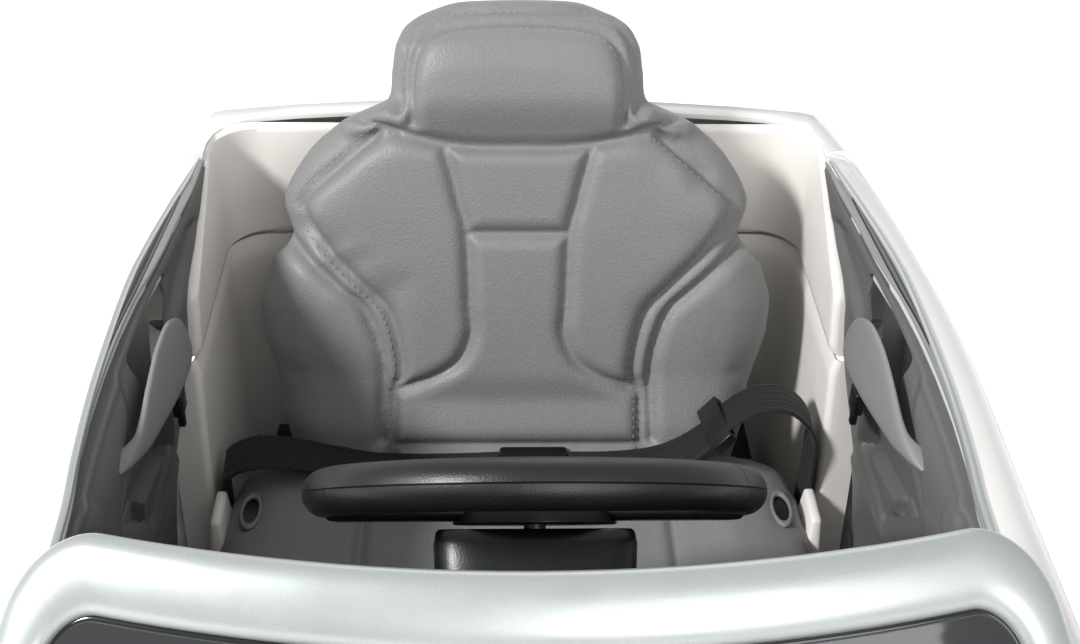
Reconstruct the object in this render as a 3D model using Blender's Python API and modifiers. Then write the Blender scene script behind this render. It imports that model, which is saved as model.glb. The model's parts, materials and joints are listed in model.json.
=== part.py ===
"""Kids ride-on car: one object for each separate piece, in metres, front towards -Y, +Z up.

The origin is on the ground, under the middle of the car. +X is the car's left side.
"""
import math

import bmesh
import bpy
from mathutils import Matrix, Vector

# Clearances
SEAT_GAP = 0.0003          # between pieces that touch
RUN_GAP = 0.0004           # round a shaft in its bore
PANEL_GAP = 0.004          # between body panels

# Body
BODY_LENGTH = 1.13
BODY_HALF = 0.305          # widest half width, at the shoulder
WALL = 0.004
SILL_BOTTOM = 0.085
SILL_TOP = 0.150
BELT_Z = 0.445             # top edge of the doors
BELT_HALF = 0.255          # half width at the top edge of the doors
SHOULDER_Z = 0.395
CROWN = 0.012              # rise of the bonnet at its middle
FRONT_Y = -BODY_LENGTH / 2
REAR_Y = BODY_LENGTH / 2

# Cabin
CABIN_FRONT_Y = -0.245
CABIN_REAR_Y = 0.425
CABIN_HALF = 0.2425
CABIN_CORNER = 0.04

# Doors
DOOR_FRONT_Y = -0.215
DOOR_REAR_LOW_Y = 0.190    # rear edge at the sill
DOOR_REAR_MID_Y = 0.250    # rear edge where it starts to sweep back
DOOR_REAR_HIGH_Y = 0.366   # rear edge at the top
DOOR_SWEEP_Z = 0.385
DOOR_INNER_X = 0.2703      # back of the white shell, where the panel fits
DOOR_LIP = 0.0040          # top of the panel, from its inner edge to the shell's lip
DOOR_LIP_H = 0.020
DOOR_POCKET_WALL = 0.005
DOOR_POST = 0.032          # solid front edge that holds the hinge pin
HINGE_X = 0.286
HINGE_INSET = 0.019        # pin behind the door's front edge
HINGE_PIN_R = 0.0025
HINGE_TOP_Z = 0.370        # upper end of the pin
LUG_Z = 0.340              # middle of the upper lug
LUG_T = 0.007
LUG_WALL = 0.003           # round the pin
LUG_CLEAR = 0.0015         # above and below the lug in the door

# Road wheels
TYRE_R = 0.105
TYRE_W = 0.056
TYRE_INNER_X = 0.247
RIM_R = 0.068
FRONT_AXLE_Y = -0.370
REAR_AXLE_Y = 0.345
ARCH_R = 0.140
AXLE_R = 0.005
AXLE_END_X = 0.292

# Chassis
FLOOR_Z = 0.070            # underside of the tub
FLOOR_T = 0.005
TUB_FRONT_HALF = 0.180
TUB_REAR_HALF = 0.2295
TUB_END_HALF = 0.165       # half width of the end walls
TUB_END_TAPER = 0.040
TUB_END_Z = 0.120          # top of the end walls
TUB_WALL = 0.005
WALL_DROP = 0.004          # side walls end this far below the sills
DASH_Z = 0.300             # underside of the dashboard
PLATFORM_Z = 0.150         # what the seat base stands on
RIB_X = 0.150
RIB_FRONT_Y = 0.050
RIB_REAR_Y = 0.330

# Steering
STEER_X = 0.003
WHEEL_Y = -0.035
WHEEL_Z = 0.458
COLUMN_TILT = math.radians(45.0)   # above the horizontal
WHEEL_RADIUS = 0.126       # outside of the rim
RIM_TUBE = 0.0128
SPOKE_LOW = 0.015          # the spokes reach this far under the wheel's plane
SPOKE_HIGH = 0.002
HUB_R = 0.045
HUB_LOW = 0.017            # the hub reaches this far under the wheel's plane
HUB_TOP = 0.006            # and this far above it
HUB_BORE = 0.008           # depth of the column's seat
HORN_R = 0.030
HORN_T = 0.007
HORN_PROUD = 0.002
HORN_TRAVEL = 0.003
COLUMN_R = 0.006
CRANK_PIN_R = 0.004
COVER_TOP = HUB_LOW + 0.001     # the cover starts just under the hub
COVER_FOOT = 0.135
CRANK = 0.032
CRANK_LIFT = 0.0170        # the crank's arm stands this far up the column from the tie rod
TIE_Z = 0.095
TIE_T = 0.005
KINGPIN_X = 0.222
KINGPIN_R = 0.005
ARM = 0.055

# Windscreen
SCREEN_TOP_Y = -0.145      # header's rear edge at its ends
SCREEN_TOP_Z = 0.545
SCREEN_RUN = 0.95          # how far forward per unit down
SCREEN_BOW = 0.033         # how far the middle stands in front of the ends
SCREEN_HALF = 0.224        # half width of the header
SCREEN_FLARE = 0.40        # growth of the half width per unit down
SCREEN_BASE_Z = 0.405
FRAME_BAND = 0.026         # height of the header band
PILLAR_BAND = 0.024
FRAME_T = 0.020
GLASS_T = 0.004
GLASS_GAP = 0.0006

# Seat
SEAT_Y = 0.262             # foot of the back's face
SEAT_Z = 0.235
SEAT_LEAN = math.radians(19.0)
BACK_T = 0.052
BASE_FRONT_Y = 0.030
BASE_REAR_Y = 0.330
BASE_HALF = 0.226
BASE_TOP_Z = 0.236
SLOT_X = 0.2015
SLOT_Y = 0.186

# Skins laid on the body
LAMP_T = 0.004
BUMPER_T = 0.012

CAR = bpy.data.collections.new("kids_ride_on_car")
CUTTERS = bpy.data.collections.new("cutters")

COLOURS = {
    "white_plastic": ((0.86, 0.86, 0.85), 0.35, 0.0),
    "black_plastic": ((0.02, 0.02, 0.022), 0.5, 0.0),
    "grey_plastic": ((0.28, 0.29, 0.30), 0.5, 0.0),
    "silver_paint": ((0.62, 0.65, 0.66), 0.35, 0.6),
    "tinted_glass": ((0.02, 0.02, 0.03), 0.08, 0.0),
    "seat_leather": ((0.30, 0.31, 0.31), 0.55, 0.0),
    "webbing": ((0.015, 0.015, 0.016), 0.8, 0.0),
    "steel": ((0.55, 0.55, 0.56), 0.3, 1.0),
    "tyre_rubber": ((0.03, 0.03, 0.03), 0.8, 0.0),
    "lamp_lens": ((0.8, 0.82, 0.85), 0.1, 0.0),
    "red_lens": ((0.5, 0.02, 0.02), 0.15, 0.0),
    "battery_case": ((0.05, 0.05, 0.06), 0.4, 0.0),
}


def material(name):
    """Return the named material, made on first use."""
    found = bpy.data.materials.get(name)
    if found:
        return found
    colour, roughness, metallic = COLOURS[name]
    made = bpy.data.materials.new(name)
    made.use_nodes = True
    shader = made.node_tree.nodes["Principled BSDF"]
    shader.inputs["Base Color"].default_value = (*colour, 1.0)
    shader.inputs["Roughness"].default_value = roughness
    shader.inputs["Metallic"].default_value = metallic
    made.diffuse_color = (*colour, 1.0)
    return made


def clear_scene():
    for old in list(bpy.data.objects):
        bpy.data.objects.remove(old, do_unlink=True)
    bpy.context.scene.collection.children.link(CAR)
    bpy.context.scene.collection.children.link(CUTTERS)


def piece(name, mesh, finish):
    """Put a mesh in the car as a named piece."""
    made = bpy.data.objects.new(name, mesh)
    CAR.objects.link(made)
    mesh.materials.clear()
    mesh.materials.append(material(finish))
    return made


def guide(name, mesh):
    """Put a mesh among the cutters, which are not part of the car."""
    made = bpy.data.objects.new(name, mesh)
    CUTTERS.objects.link(made)
    made.hide_render = True
    made.display_type = "WIRE"
    return made


def boolean(target, other, operation):
    step = target.modifiers.new(operation.title(), "BOOLEAN")
    step.operation = operation
    step.solver = "EXACT"
    step.object = other
    return target


def cut(target, *cutters):
    for other in cutters:
        boolean(target, other, "DIFFERENCE")
    return target


def keep(target, other):
    return boolean(target, other, "INTERSECT")


def join(target, *others):
    for other in others:
        boolean(target, other, "UNION")
    return target


def smooth(target, degrees=35.0):
    """Shade a round piece smooth, with its real edges kept sharp."""
    target.data.shade_smooth()
    target.data.set_sharp_from_angle(angle=math.radians(degrees))
    return target


def mesh_from(name, build):
    """Make a mesh with a function that fills a bmesh."""
    work = bmesh.new()
    build(work)
    bmesh.ops.recalc_face_normals(work, faces=work.faces)
    if work.calc_volume(signed=True) < 0:
        bmesh.ops.reverse_faces(work, faces=work.faces)
    mesh = bpy.data.meshes.new(name)
    work.to_mesh(mesh)
    work.free()
    return mesh


def box_mesh(name, low, high):
    """A box between two corners."""
    low, high = Vector(low), Vector(high)
    size = high - low
    place = Matrix.Translation((low + high) / 2) @ Matrix.Diagonal((*size, 1.0))
    return mesh_from(name, lambda work: bmesh.ops.create_cube(work, size=1.0, matrix=place))


def rod_mesh(name, start, end, radius, sides=16, end_radius=None):
    """A round bar, or a cone, between two points."""
    start, end = Vector(start), Vector(end)
    run = end - start
    turn = Vector((0, 0, 1)).rotation_difference(run.normalized()).to_matrix().to_4x4()
    place = Matrix.Translation((start + end) / 2) @ turn
    top = radius if end_radius is None else end_radius

    def build(work):
        bmesh.ops.create_cone(work, cap_ends=True, segments=sides, radius1=radius, radius2=top,
                              depth=run.length, matrix=place)
    return mesh_from(name, build)


def loft_mesh(name, rings, closed=False, split=False):
    """Skin a list of equal rings of points. The ends are capped, or joined when closed.

    With split, each strip is made of triangles, so that two skins of the same rings bend alike.
    """
    def build(work):
        rows = [[work.verts.new(point) for point in ring] for ring in rings]
        count = len(rows[0])
        pairs = list(zip(rows, rows[1:]))
        if closed:
            pairs.append((rows[-1], rows[0]))
        for one, two in pairs:
            for index in range(count):
                after = (index + 1) % count
                if split:
                    work.faces.new((one[index], one[after], two[after]))
                    work.faces.new((one[index], two[after], two[index]))
                else:
                    work.faces.new((one[index], one[after], two[after], two[index]))
        if not closed:
            work.faces.new(rows[0])
            work.faces.new(rows[-1])
    return mesh_from(name, build)


def prism_mesh(name, outline, axis, low, high):
    """Extrude a flat outline along X, Y or Z. Its points hold the other two coordinates in order."""
    slot = "XYZ".index(axis)

    def place(point, depth):
        values = list(point)
        values.insert(slot, depth)
        return values
    return loft_mesh(name, [[place(p, low) for p in outline], [place(p, high) for p in outline]])


def turned_mesh(name, profile, steps, axis="X"):
    """Turn a closed profile of (radius, height) points about an axis."""
    rings = []
    for index in range(steps):
        angle = 2 * math.pi * index / steps
        ring = []
        for radius, height in profile:
            across, up = radius * math.sin(angle), -radius * math.cos(angle)
            ring.append((height, across, up) if axis == "X" else (across, up, height))
        rings.append(ring)
    return loft_mesh(name, rings, closed=True)


def mirrored(mesh, side):
    """Mirror a mesh to the other side of the car when side is -1."""
    if side < 0:
        mesh.transform(Matrix.Diagonal((-1.0, 1.0, 1.0, 1.0)))
        mesh.flip_normals()
    return mesh


def side_name(side):
    return "left" if side > 0 else "right"


def through(stations, y):
    """Read a smooth curve through (y, value) stations."""
    if y <= stations[0][0]:
        return stations[0][1]
    for index in range(len(stations) - 1):
        (y0, v0), (y1, v1) = stations[index], stations[index + 1]
        if y > y1:
            continue
        before = stations[max(index - 1, 0)]
        after = stations[min(index + 2, len(stations) - 1)]
        run = y1 - y0
        slope0 = (v1 - before[1]) / (y1 - before[0]) * run
        slope1 = (after[1] - v0) / (after[0] - y0) * run
        t = (y - y0) / run
        return ((2 * t ** 3 - 3 * t ** 2 + 1) * v0 + (t ** 3 - 2 * t ** 2 + t) * slope0
                + (-2 * t ** 3 + 3 * t ** 2) * v1 + (t ** 3 - t ** 2) * slope1)
    return stations[-1][1]


# The body's outer form, as curves along the car
HALF_WIDTH = [
    (FRONT_Y, BODY_HALF - 0.090), (FRONT_Y + 0.012, BODY_HALF - 0.060), (FRONT_Y + 0.035, BODY_HALF - 0.030),
    (FRONT_Y + 0.080, BODY_HALF - 0.008), (FRONT_Y + 0.165, BODY_HALF), (0.0, BODY_HALF),
    (REAR_Y - 0.235, BODY_HALF - 0.003), (REAR_Y - 0.095, BODY_HALF - 0.022),
    (REAR_Y - 0.035, BODY_HALF - 0.045), (REAR_Y - 0.012, BODY_HALF - 0.068), (REAR_Y, BODY_HALF - 0.100)]
SHOULDER_INSET = [
    (FRONT_Y, 0.0), (FRONT_Y + 0.165, 0.0), (-0.200, 0.005), (-0.030, 0.0060), (0.130, 0.004), (0.200, 0.007),
    (0.254, 0.010), (0.310, 0.0125), (0.363, 0.0150), (0.410, 0.0175), (REAR_Y, 0.0175)]
BELT_WIDTH = [
    (FRONT_Y, BELT_HALF - 0.075), (FRONT_Y + 0.035, BELT_HALF - 0.040), (FRONT_Y + 0.120, BELT_HALF - 0.020),
    (CABIN_FRONT_Y, BELT_HALF - 0.005), (-0.041, BELT_HALF), (0.005, BELT_HALF + 0.004),
    (0.060, BELT_HALF + 0.0075), (0.115, BELT_HALF + 0.009), (0.190, BELT_HALF + 0.009),
    (0.240, BELT_HALF + 0.005), (0.290, BELT_HALF - 0.001), (0.352, BELT_HALF - 0.009),
    (CABIN_REAR_Y, BELT_HALF - 0.016), (REAR_Y - 0.100, BELT_HALF - 0.022),
    (REAR_Y - 0.050, BELT_HALF - 0.038), (REAR_Y, BELT_HALF - 0.070)]
BELT_HEIGHT = [
    (FRONT_Y, BELT_Z - 0.150), (FRONT_Y + 0.015, BELT_Z - 0.118), (FRONT_Y + 0.045, BELT_Z - 0.094),
    (FRONT_Y + 0.110, BELT_Z - 0.070), (CABIN_FRONT_Y - 0.035, BELT_Z - 0.022),
    (DOOR_FRONT_Y, BELT_Z - 0.006), (0.02, BELT_Z + 0.003), (CABIN_REAR_Y - 0.185, BELT_Z),
    (CABIN_REAR_Y + 0.010, BELT_Z - 0.005), (CABIN_REAR_Y + 0.030, BELT_Z - 0.010),
    (REAR_Y - 0.070, BELT_Z - 0.050),
    (REAR_Y - 0.030, BELT_Z - 0.098), (REAR_Y, BELT_Z - 0.150)]
SHOULDER_HEIGHT = [
    (FRONT_Y, SHOULDER_Z - 0.140), (FRONT_Y + 0.045, SHOULDER_Z - 0.085),
    (FRONT_Y + 0.120, SHOULDER_Z - 0.055), (CABIN_FRONT_Y, SHOULDER_Z - 0.015),
    (0.0, SHOULDER_Z), (CABIN_REAR_Y - 0.080, SHOULDER_Z),
    (REAR_Y - 0.090, SHOULDER_Z - 0.020), (REAR_Y - 0.030, SHOULDER_Z - 0.085), (REAR_Y, SHOULDER_Z - 0.130)]
HULL_FRONT_STEPS = (0.0, 0.006, 0.015, 0.028, 0.045, 0.070, 0.105, 0.150, 0.200, 0.250, 0.300)
HULL_REAR_STEPS = (0.235, 0.180, 0.140, 0.120, 0.095, 0.070, 0.048, 0.030, 0.014, 0.0)
HULL_DOOR_STEPS = 14
SIDE_TUCK = 0.012          # how far the sill stands inside the shoulder
END_ZONE = 0.05            # near the ends the hull also grows along the car
ROW_RISE = 0.3             # how far the hull's side rows rise as it grows


def hull_stations():
    """Places along the car where the hull has a section."""
    front = [FRONT_Y + step for step in HULL_FRONT_STEPS]
    rear = [REAR_Y - step for step in HULL_REAR_STEPS]
    span = rear[0] - front[-1]
    middle = [front[-1] + span * index / (HULL_DOOR_STEPS + 1) for index in range(1, HULL_DOOR_STEPS + 1)]
    return front + middle + rear


def hull_ring(y, grow, bottom):
    """One section of the body at y, grown outwards by grow, closed along its bottom."""
    low_half = through(HALF_WIDTH, y) + grow
    half = low_half - through(SHOULDER_INSET, y)
    belt_half = through(BELT_WIDTH, y) + grow
    belt = through(BELT_HEIGHT, y) + grow
    shoulder = through(SHOULDER_HEIGHT, y)
    place_y = y + grow * math.copysign(1.0, y) if abs(y) > REAR_Y - END_ZONE else y
    side = [(low_half - SIDE_TUCK, bottom)]
    for share, drawn in ((0.25, 0.0), (0.55, 0.0), (0.85, 0.6)):
        height = SILL_BOTTOM + (shoulder - SILL_BOTTOM) * share + grow * ROW_RISE
        wide = low_half + (half - low_half) * drawn
        side.append((wide - SIDE_TUCK * (1 - share) ** 2, height))
    for step in range(6):
        angle = math.pi / 2 * step / 5
        side.append((belt_half + (half - belt_half) * math.cos(angle),
                     shoulder + (belt - shoulder) * math.sin(angle)))
    for share in (0.75, 0.4):
        side.append((belt_half * share, belt + CROWN * (1 - share ** 2)))
    left = [(x, place_y, z) for x, z in side]
    right = [(-x, place_y, z) for x, z in reversed(side)]
    return left + [(0.0, place_y, belt + CROWN)] + right


def hull_mesh(name, grow=0.0, bottom=SILL_BOTTOM):
    """The whole outer form as one solid."""
    return loft_mesh(name, [hull_ring(y, grow, bottom) for y in hull_stations()], split=True)


ABOVE_Z = 0.70             # higher than every piece
DOOR_EDGE = [(SILL_TOP, DOOR_REAR_LOW_Y), (SILL_TOP + 0.100, DOOR_REAR_LOW_Y + 0.022),
             (DOOR_SWEEP_Z, DOOR_REAR_MID_Y), (DOOR_SWEEP_Z + 0.023, DOOR_REAR_MID_Y + 0.050),
             (BELT_Z - 0.011, DOOR_REAR_HIGH_Y), (ABOVE_Z, DOOR_REAR_HIGH_Y + 0.006)]


def door_rear(z):
    """Where the door's rear edge stands at height z: slanted, then swept back under the belt."""
    for (z0, y0), (z1, y1) in zip(DOOR_EDGE, DOOR_EDGE[1:]):
        if z <= z1:
            return y0 + (y1 - y0) * (z - z0) / (z1 - z0)
    return DOOR_EDGE[-1][1]


def door_outline(inset):
    """The door seen from the side, drawn in by inset."""
    low = SILL_TOP + inset
    rear = [(door_rear(low) - inset, low)] + [(y - inset, z) for z, y in DOOR_EDGE[1:]]
    return [(DOOR_FRONT_Y + inset, low)] + rear + [(DOOR_FRONT_Y + inset, ABOVE_Z)]


def rounded_plan(half, front, rear, corner, steps=4):
    """The cabin's opening seen from above, round at the rear corners."""
    points = [(-half, front), (half, front)]
    for side, start in ((1, 0.0), (-1, math.pi / 2)):
        for step in range(steps + 1):
            angle = start + math.pi / 2 * step / steps
            points.append((side * (half - corner) + corner * math.cos(angle),
                           rear - corner + corner * math.sin(angle)))
    return points


def arch_cutters():
    """Round spaces for the road wheels, right across the car."""
    found = []
    for label, y in (("front", FRONT_AXLE_Y), ("rear", REAR_AXLE_Y)):
        mesh = rod_mesh("arch_" + label, (-0.4, y, TYRE_R), (0.4, y, TYRE_R), ARCH_R, sides=32)
        found.append(guide("arch_" + label, mesh))
    return found


def make_body():
    """White shell: front and rear parts and two sills, cut from one hull."""
    inner = guide("hull_inner", hull_mesh("hull_inner", -WALL, SILL_BOTTOM - 0.02))
    plan = rounded_plan(CABIN_HALF, CABIN_FRONT_Y, CABIN_REAR_Y, CABIN_CORNER)
    opening = guide("cabin_opening", prism_mesh("cabin_opening", plan, "Z", 0.25, 0.70))
    arches = arch_cutters()
    split = PANEL_GAP / 2
    low, high, wide = -0.05, ABOVE_Z, 0.40
    front_zone = [(FRONT_Y - 0.1, low), (DOOR_FRONT_Y - split, low), (DOOR_FRONT_Y - split, high),
                  (FRONT_Y - 0.1, high)]
    rear_zone = [(door_rear(SILL_TOP) + split, low), (REAR_Y + 0.1, low), (REAR_Y + 0.1, high)]
    rear_zone += [(y + split, z) for z, y in reversed(DOOR_EDGE)]
    sill_zone = [(DOOR_FRONT_Y - split + SEAT_GAP, low),
                 (door_rear(SILL_TOP) + split - SEAT_GAP, low),
                 (door_rear(SILL_TOP) + split - SEAT_GAP, SILL_TOP),
                 (DOOR_FRONT_Y - split + SEAT_GAP, SILL_TOP)]
    made = {}
    for name, zone in (("body_front", front_zone), ("body_rear", rear_zone)):
        shell = piece(name, hull_mesh(name), "white_plastic")
        keep(shell, guide(name + "_zone", prism_mesh(name + "_zone", zone, "X", -wide, wide)))
        cut(shell, inner, opening, *arches)
        made[name] = smooth(shell)
    for side in (1, -1):
        name = "sill_" + side_name(side)
        shell = piece(name, hull_mesh(name), "white_plastic")
        ends = (0.2, wide) if side > 0 else (-wide, -0.2)
        keep(shell, guide(name + "_zone", prism_mesh(name + "_zone", sill_zone, "X", *ends)))
        cut(shell, inner, *arches)
        made[name] = smooth(shell)
    return made


def skin(name, finish, thickness, zone, extra=()):
    """A piece that lies on the body like a lens or a bumper, inside a box-like zone."""
    made = piece(name, hull_mesh(name, thickness, SILL_BOTTOM), finish)
    keep(made, zone)
    seat = bpy.data.objects.get("hull_seat")
    if seat is None:
        seat = guide("hull_seat", hull_mesh("hull_seat", SEAT_GAP, SILL_BOTTOM - 0.02))
    cut(made, seat, *extra)
    return smooth(made)


def zone_box(name, low, high):
    return guide(name + "_zone", box_mesh(name + "_zone", low, high))


def make_front_and_rear():
    """Grille, lamps and bumpers, each lying on the body."""
    nose, tail = FRONT_Y - 0.05, REAR_Y + 0.05
    bumper_top, lamp_low, lamp_high = 0.185, 0.262, 0.318
    grille_half, lamp_outer = 0.120, 0.40
    skin("grille", "black_plastic", LAMP_T,
         zone_box("grille", (-grille_half, nose, bumper_top + 0.010),
                  (grille_half, FRONT_Y + 0.05, lamp_high - 0.022)))
    skin("front_bumper", "grey_plastic", BUMPER_T,
         zone_box("front_bumper", (-0.40, nose, 0.0), (0.40, FRONT_Y + 0.048, bumper_top)))
    skin("rear_bumper", "grey_plastic", BUMPER_T,
         zone_box("rear_bumper", (-0.40, REAR_Y - 0.055, 0.0), (0.40, tail, bumper_top)))
    for side in (1, -1):
        name = "headlamp_" + side_name(side)
        ends = sorted((side * (grille_half + 0.004), side * lamp_outer))
        skin(name, "lamp_lens", LAMP_T,
             zone_box(name, (ends[0], nose, lamp_low), (ends[1], FRONT_Y + 0.085, lamp_high)))
        name = "tail_lamp_" + side_name(side)
        ends = sorted((side * 0.105, side * lamp_outer))
        skin(name, "red_lens", LAMP_T,
             zone_box(name, (ends[0], REAR_Y - 0.075, lamp_low + 0.010), (ends[1], tail, lamp_high + 0.006)))


def make_chassis():
    """Black tub: floor with a wide middle, side walls, a bulkhead and ribs under the seat."""
    top = FLOOR_Z + FLOOR_T
    half = BODY_HALF - SIDE_TUCK - WALL - SEAT_GAP
    wall_top = SILL_TOP - WALL_DROP
    front, rear = FRONT_Y + WALL + SEAT_GAP, REAR_Y - WALL - SEAT_GAP
    middle_front, middle_rear = CABIN_FRONT_Y, DOOR_REAR_LOW_Y
    plan = [(TUB_END_HALF, front), (TUB_FRONT_HALF, front + TUB_END_TAPER), (TUB_FRONT_HALF, middle_front),
            (half, middle_front), (half, middle_rear), (TUB_REAR_HALF, middle_rear),
            (TUB_REAR_HALF, rear - TUB_END_TAPER), (TUB_END_HALF, rear)]
    plan += [(-x, y) for x, y in reversed(plan)]
    tub = piece("chassis_tub", prism_mesh("chassis_tub", plan, "Z", FLOOR_Z, top), "black_plastic")
    sunk = 0.002
    slip = 0.0001
    walls = []
    for side in (1, -1):
        low_x, high_x = sorted((side * (half - TUB_WALL), side * (half - slip)))
        walls.append(("tub_wall_" + side_name(side), (low_x, middle_front + slip, top - sunk),
                      (high_x, middle_rear - slip, wall_top)))
        low_x, high_x = sorted((side * RIB_X, side * (RIB_X + TUB_WALL)))
        walls.append(("tub_rib_" + side_name(side), (low_x, RIB_FRONT_Y, top - sunk),
                      (high_x, RIB_REAR_Y, PLATFORM_Z)))
    end = TUB_END_HALF - 0.005
    walls.append(("tub_front_wall", (-end, front + slip, top - sunk), (end, front + TUB_WALL, TUB_END_Z)))
    walls.append(("tub_rear_wall", (-end, rear - TUB_WALL, top - sunk), (end, rear - slip, TUB_END_Z)))
    bulkhead = TUB_FRONT_HALF - 0.001
    walls.append(("tub_bulkhead", (-bulkhead, middle_front + 2 * slip, top - sunk),
                  (bulkhead, middle_front + TUB_WALL, DASH_Z - SEAT_GAP)))
    for name, low, high in walls:
        join(tub, guide(name, box_mesh(name, low, high)))
    add_pedal_mount(tub)
    cut(tub, column_cutter("column_hole", 0.004))
    for side in (1, -1):
        add_hinge_lug(tub, side, half - TUB_WALL + 0.001, wall_top - LUG_T / 2, "low")
    return tub


def pin_y():
    """Where the hinge pins stand along the car."""
    return DOOR_FRONT_Y + PANEL_GAP / 2 + HINGE_INSET


def add_hinge_lug(carrier, side, inner_x, z, label):
    """A lug that reaches out from the carrier and holds one end of a hinge pin."""
    name = "hinge_lug_%s_%s" % (label, side_name(side))
    reach = HINGE_PIN_R + LUG_WALL
    low = (inner_x, pin_y() - reach, z - LUG_T / 2)
    high = (HINGE_X + reach, pin_y() + reach, z + LUG_T / 2)
    join(carrier, guide(name, mirrored(box_mesh(name, low, high), side)))
    x = side * HINGE_X
    bore = rod_mesh(name + "_bore", (x, pin_y(), z - LUG_T), (x, pin_y(), z + LUG_T),
                    HINGE_PIN_R + SEAT_GAP, 12)
    cut(carrier, guide(name + "_bore", bore))


PEDAL_X = -0.100
PEDAL_Y = -0.165
PEDAL_PIVOT_Z = 0.087
PEDAL_W = 0.050
PEDAL_LEN = 0.085
PEDAL_PIN_R = 0.003
PEDAL_TILT = math.radians(55.0)


def add_pedal_mount(tub):
    """Two ears and a pin on the tub's floor, which carry the pedal."""
    top = FLOOR_Z + FLOOR_T
    for side in (1, -1):
        inner = PEDAL_X + side * (PEDAL_W / 2 + 0.0008)
        low_x, high_x = sorted((inner, inner + side * 0.005))
        name = "pedal_ear_" + side_name(side)
        join(tub, guide(name, box_mesh(name, (low_x, PEDAL_Y - 0.007, top - 0.002),
                                       (high_x, PEDAL_Y + 0.007, PEDAL_PIVOT_Z + 0.007))))
    reach = PEDAL_W / 2 + 0.003
    join(tub, guide("pedal_pin", rod_mesh("pedal_pin", (PEDAL_X - reach, PEDAL_Y, PEDAL_PIVOT_Z),
                                          (PEDAL_X + reach, PEDAL_Y, PEDAL_PIVOT_Z), PEDAL_PIN_R, 12)))


def make_pedal():
    """Foot plate on a barrel that turns on the tub's pin."""
    up = Vector((0, -math.cos(PEDAL_TILT), math.sin(PEDAL_TILT)))
    half = PEDAL_W / 2
    barrel_r = PEDAL_PIN_R + 0.0028
    barrel = rod_mesh("accelerator_pedal", (-half, 0, 0), (half, 0, 0), barrel_r, 16)
    pedal = piece("accelerator_pedal", barrel, "black_plastic")
    pedal.location = (PEDAL_X, PEDAL_Y, PEDAL_PIVOT_Z)
    plate = box_mesh("pedal_plate", (-half + 0.001, -0.0028, 0.004), (half - 0.001, 0.0028, PEDAL_LEN))
    plate.transform(Vector((0, 0, 1)).rotation_difference(up).to_matrix().to_4x4())
    plate_guide = guide("pedal_plate", plate)
    plate_guide.location = pedal.location
    join(pedal, plate_guide)
    bore = guide("pedal_bore", rod_mesh("pedal_bore", (-half - 0.01, 0, 0), (half + 0.01, 0, 0),
                                        PEDAL_PIN_R + RUN_GAP, 12))
    bore.location = pedal.location
    cut(pedal, bore)
    return pedal


def column_axis():
    """Unit vector up the steering column, towards the driver."""
    return Vector((0, math.cos(COLUMN_TILT), math.sin(COLUMN_TILT)))


def column_point(down, aside=0.0, across=0.0):
    """A point at a distance down the column, aside in the plane of the car, across it."""
    axis = column_axis()
    square = Vector((0, math.sin(COLUMN_TILT), -math.cos(COLUMN_TILT)))
    centre = Vector((STEER_X, WHEEL_Y, WHEEL_Z))
    return centre - axis * down + square * aside + Vector((across, 0, 0))


def column_length():
    """From the wheel's centre to the bend of the crank."""
    pin_drop = CRANK * math.cos(COLUMN_TILT)
    return (WHEEL_Z - (TIE_Z + pin_drop)) / math.sin(COLUMN_TILT)


def column_cutter(name, clearance):
    return guide(name, rod_mesh(name, column_point(COVER_TOP - 0.01), column_point(column_length() - 0.04),
                                COLUMN_R + clearance, 20))


def make_steering_wheel():
    """Rim, three spokes and a hub with a recess for the horn."""
    def rim(work):
        bmesh.ops.create_circle(work, segments=9, radius=RIM_TUBE)
        for vert in work.verts:
            vert.co = (vert.co.x + WHEEL_RADIUS - RIM_TUBE, 0, vert.co.y)
        edges = list(work.edges)
        bmesh.ops.spin(work, geom=list(work.verts) + edges, cent=(0, 0, 0), axis=(0, 0, 1),
                       angle=2 * math.pi, steps=30, use_merge=True)
    wheel = piece("steering_wheel", mesh_from("steering_wheel", rim), "black_plastic")
    reach = WHEEL_RADIUS - RIM_TUBE
    inside = []
    for label, low, high in (("left", (0.02, -0.017, -SPOKE_LOW), (reach, 0.013, SPOKE_HIGH)),
                             ("right", (-reach, -0.017, -SPOKE_LOW), (-0.02, 0.013, SPOKE_HIGH)),
                             ("low", (-0.020, 0.02, 0.004 - SPOKE_LOW), (0.020, reach, SPOKE_HIGH))):
        inside.append(guide("spoke_" + label, box_mesh("spoke_" + label, low, high)))
    inside.append(guide("wheel_hub", rod_mesh("wheel_hub", (0, 0, -HUB_LOW), (0, 0, HUB_TOP),
                                              HUB_R, 28, HUB_R - 0.006)))
    join(wheel, *inside)
    recess = HORN_T + HORN_TRAVEL + SEAT_GAP
    top = HUB_TOP
    tools = [guide("horn_recess", rod_mesh("horn_recess", (0, 0, top - recess), (0, 0, top + 0.02),
                                           HORN_R + RUN_GAP, 28)),
             guide("wheel_bore", rod_mesh("wheel_bore", (0, 0, -2 * HUB_LOW), (0, 0, HUB_BORE - HUB_LOW),
                                          COLUMN_R + SEAT_GAP, 16))]
    cut(wheel, *tools)
    horn = piece("horn_button", rod_mesh("horn_button", (0, 0, top - HORN_T), (0, 0, top + HORN_PROUD),
                                         HORN_R, 28, HORN_R - 0.003), "silver_paint")
    place = Matrix.Translation(column_point(0)) @ Vector((0, 0, 1)).rotation_difference(
        column_axis()).to_matrix().to_4x4()
    for part in [wheel, horn] + inside + tools:
        part.matrix_world = place
    smooth(wheel)
    smooth(horn)


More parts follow.
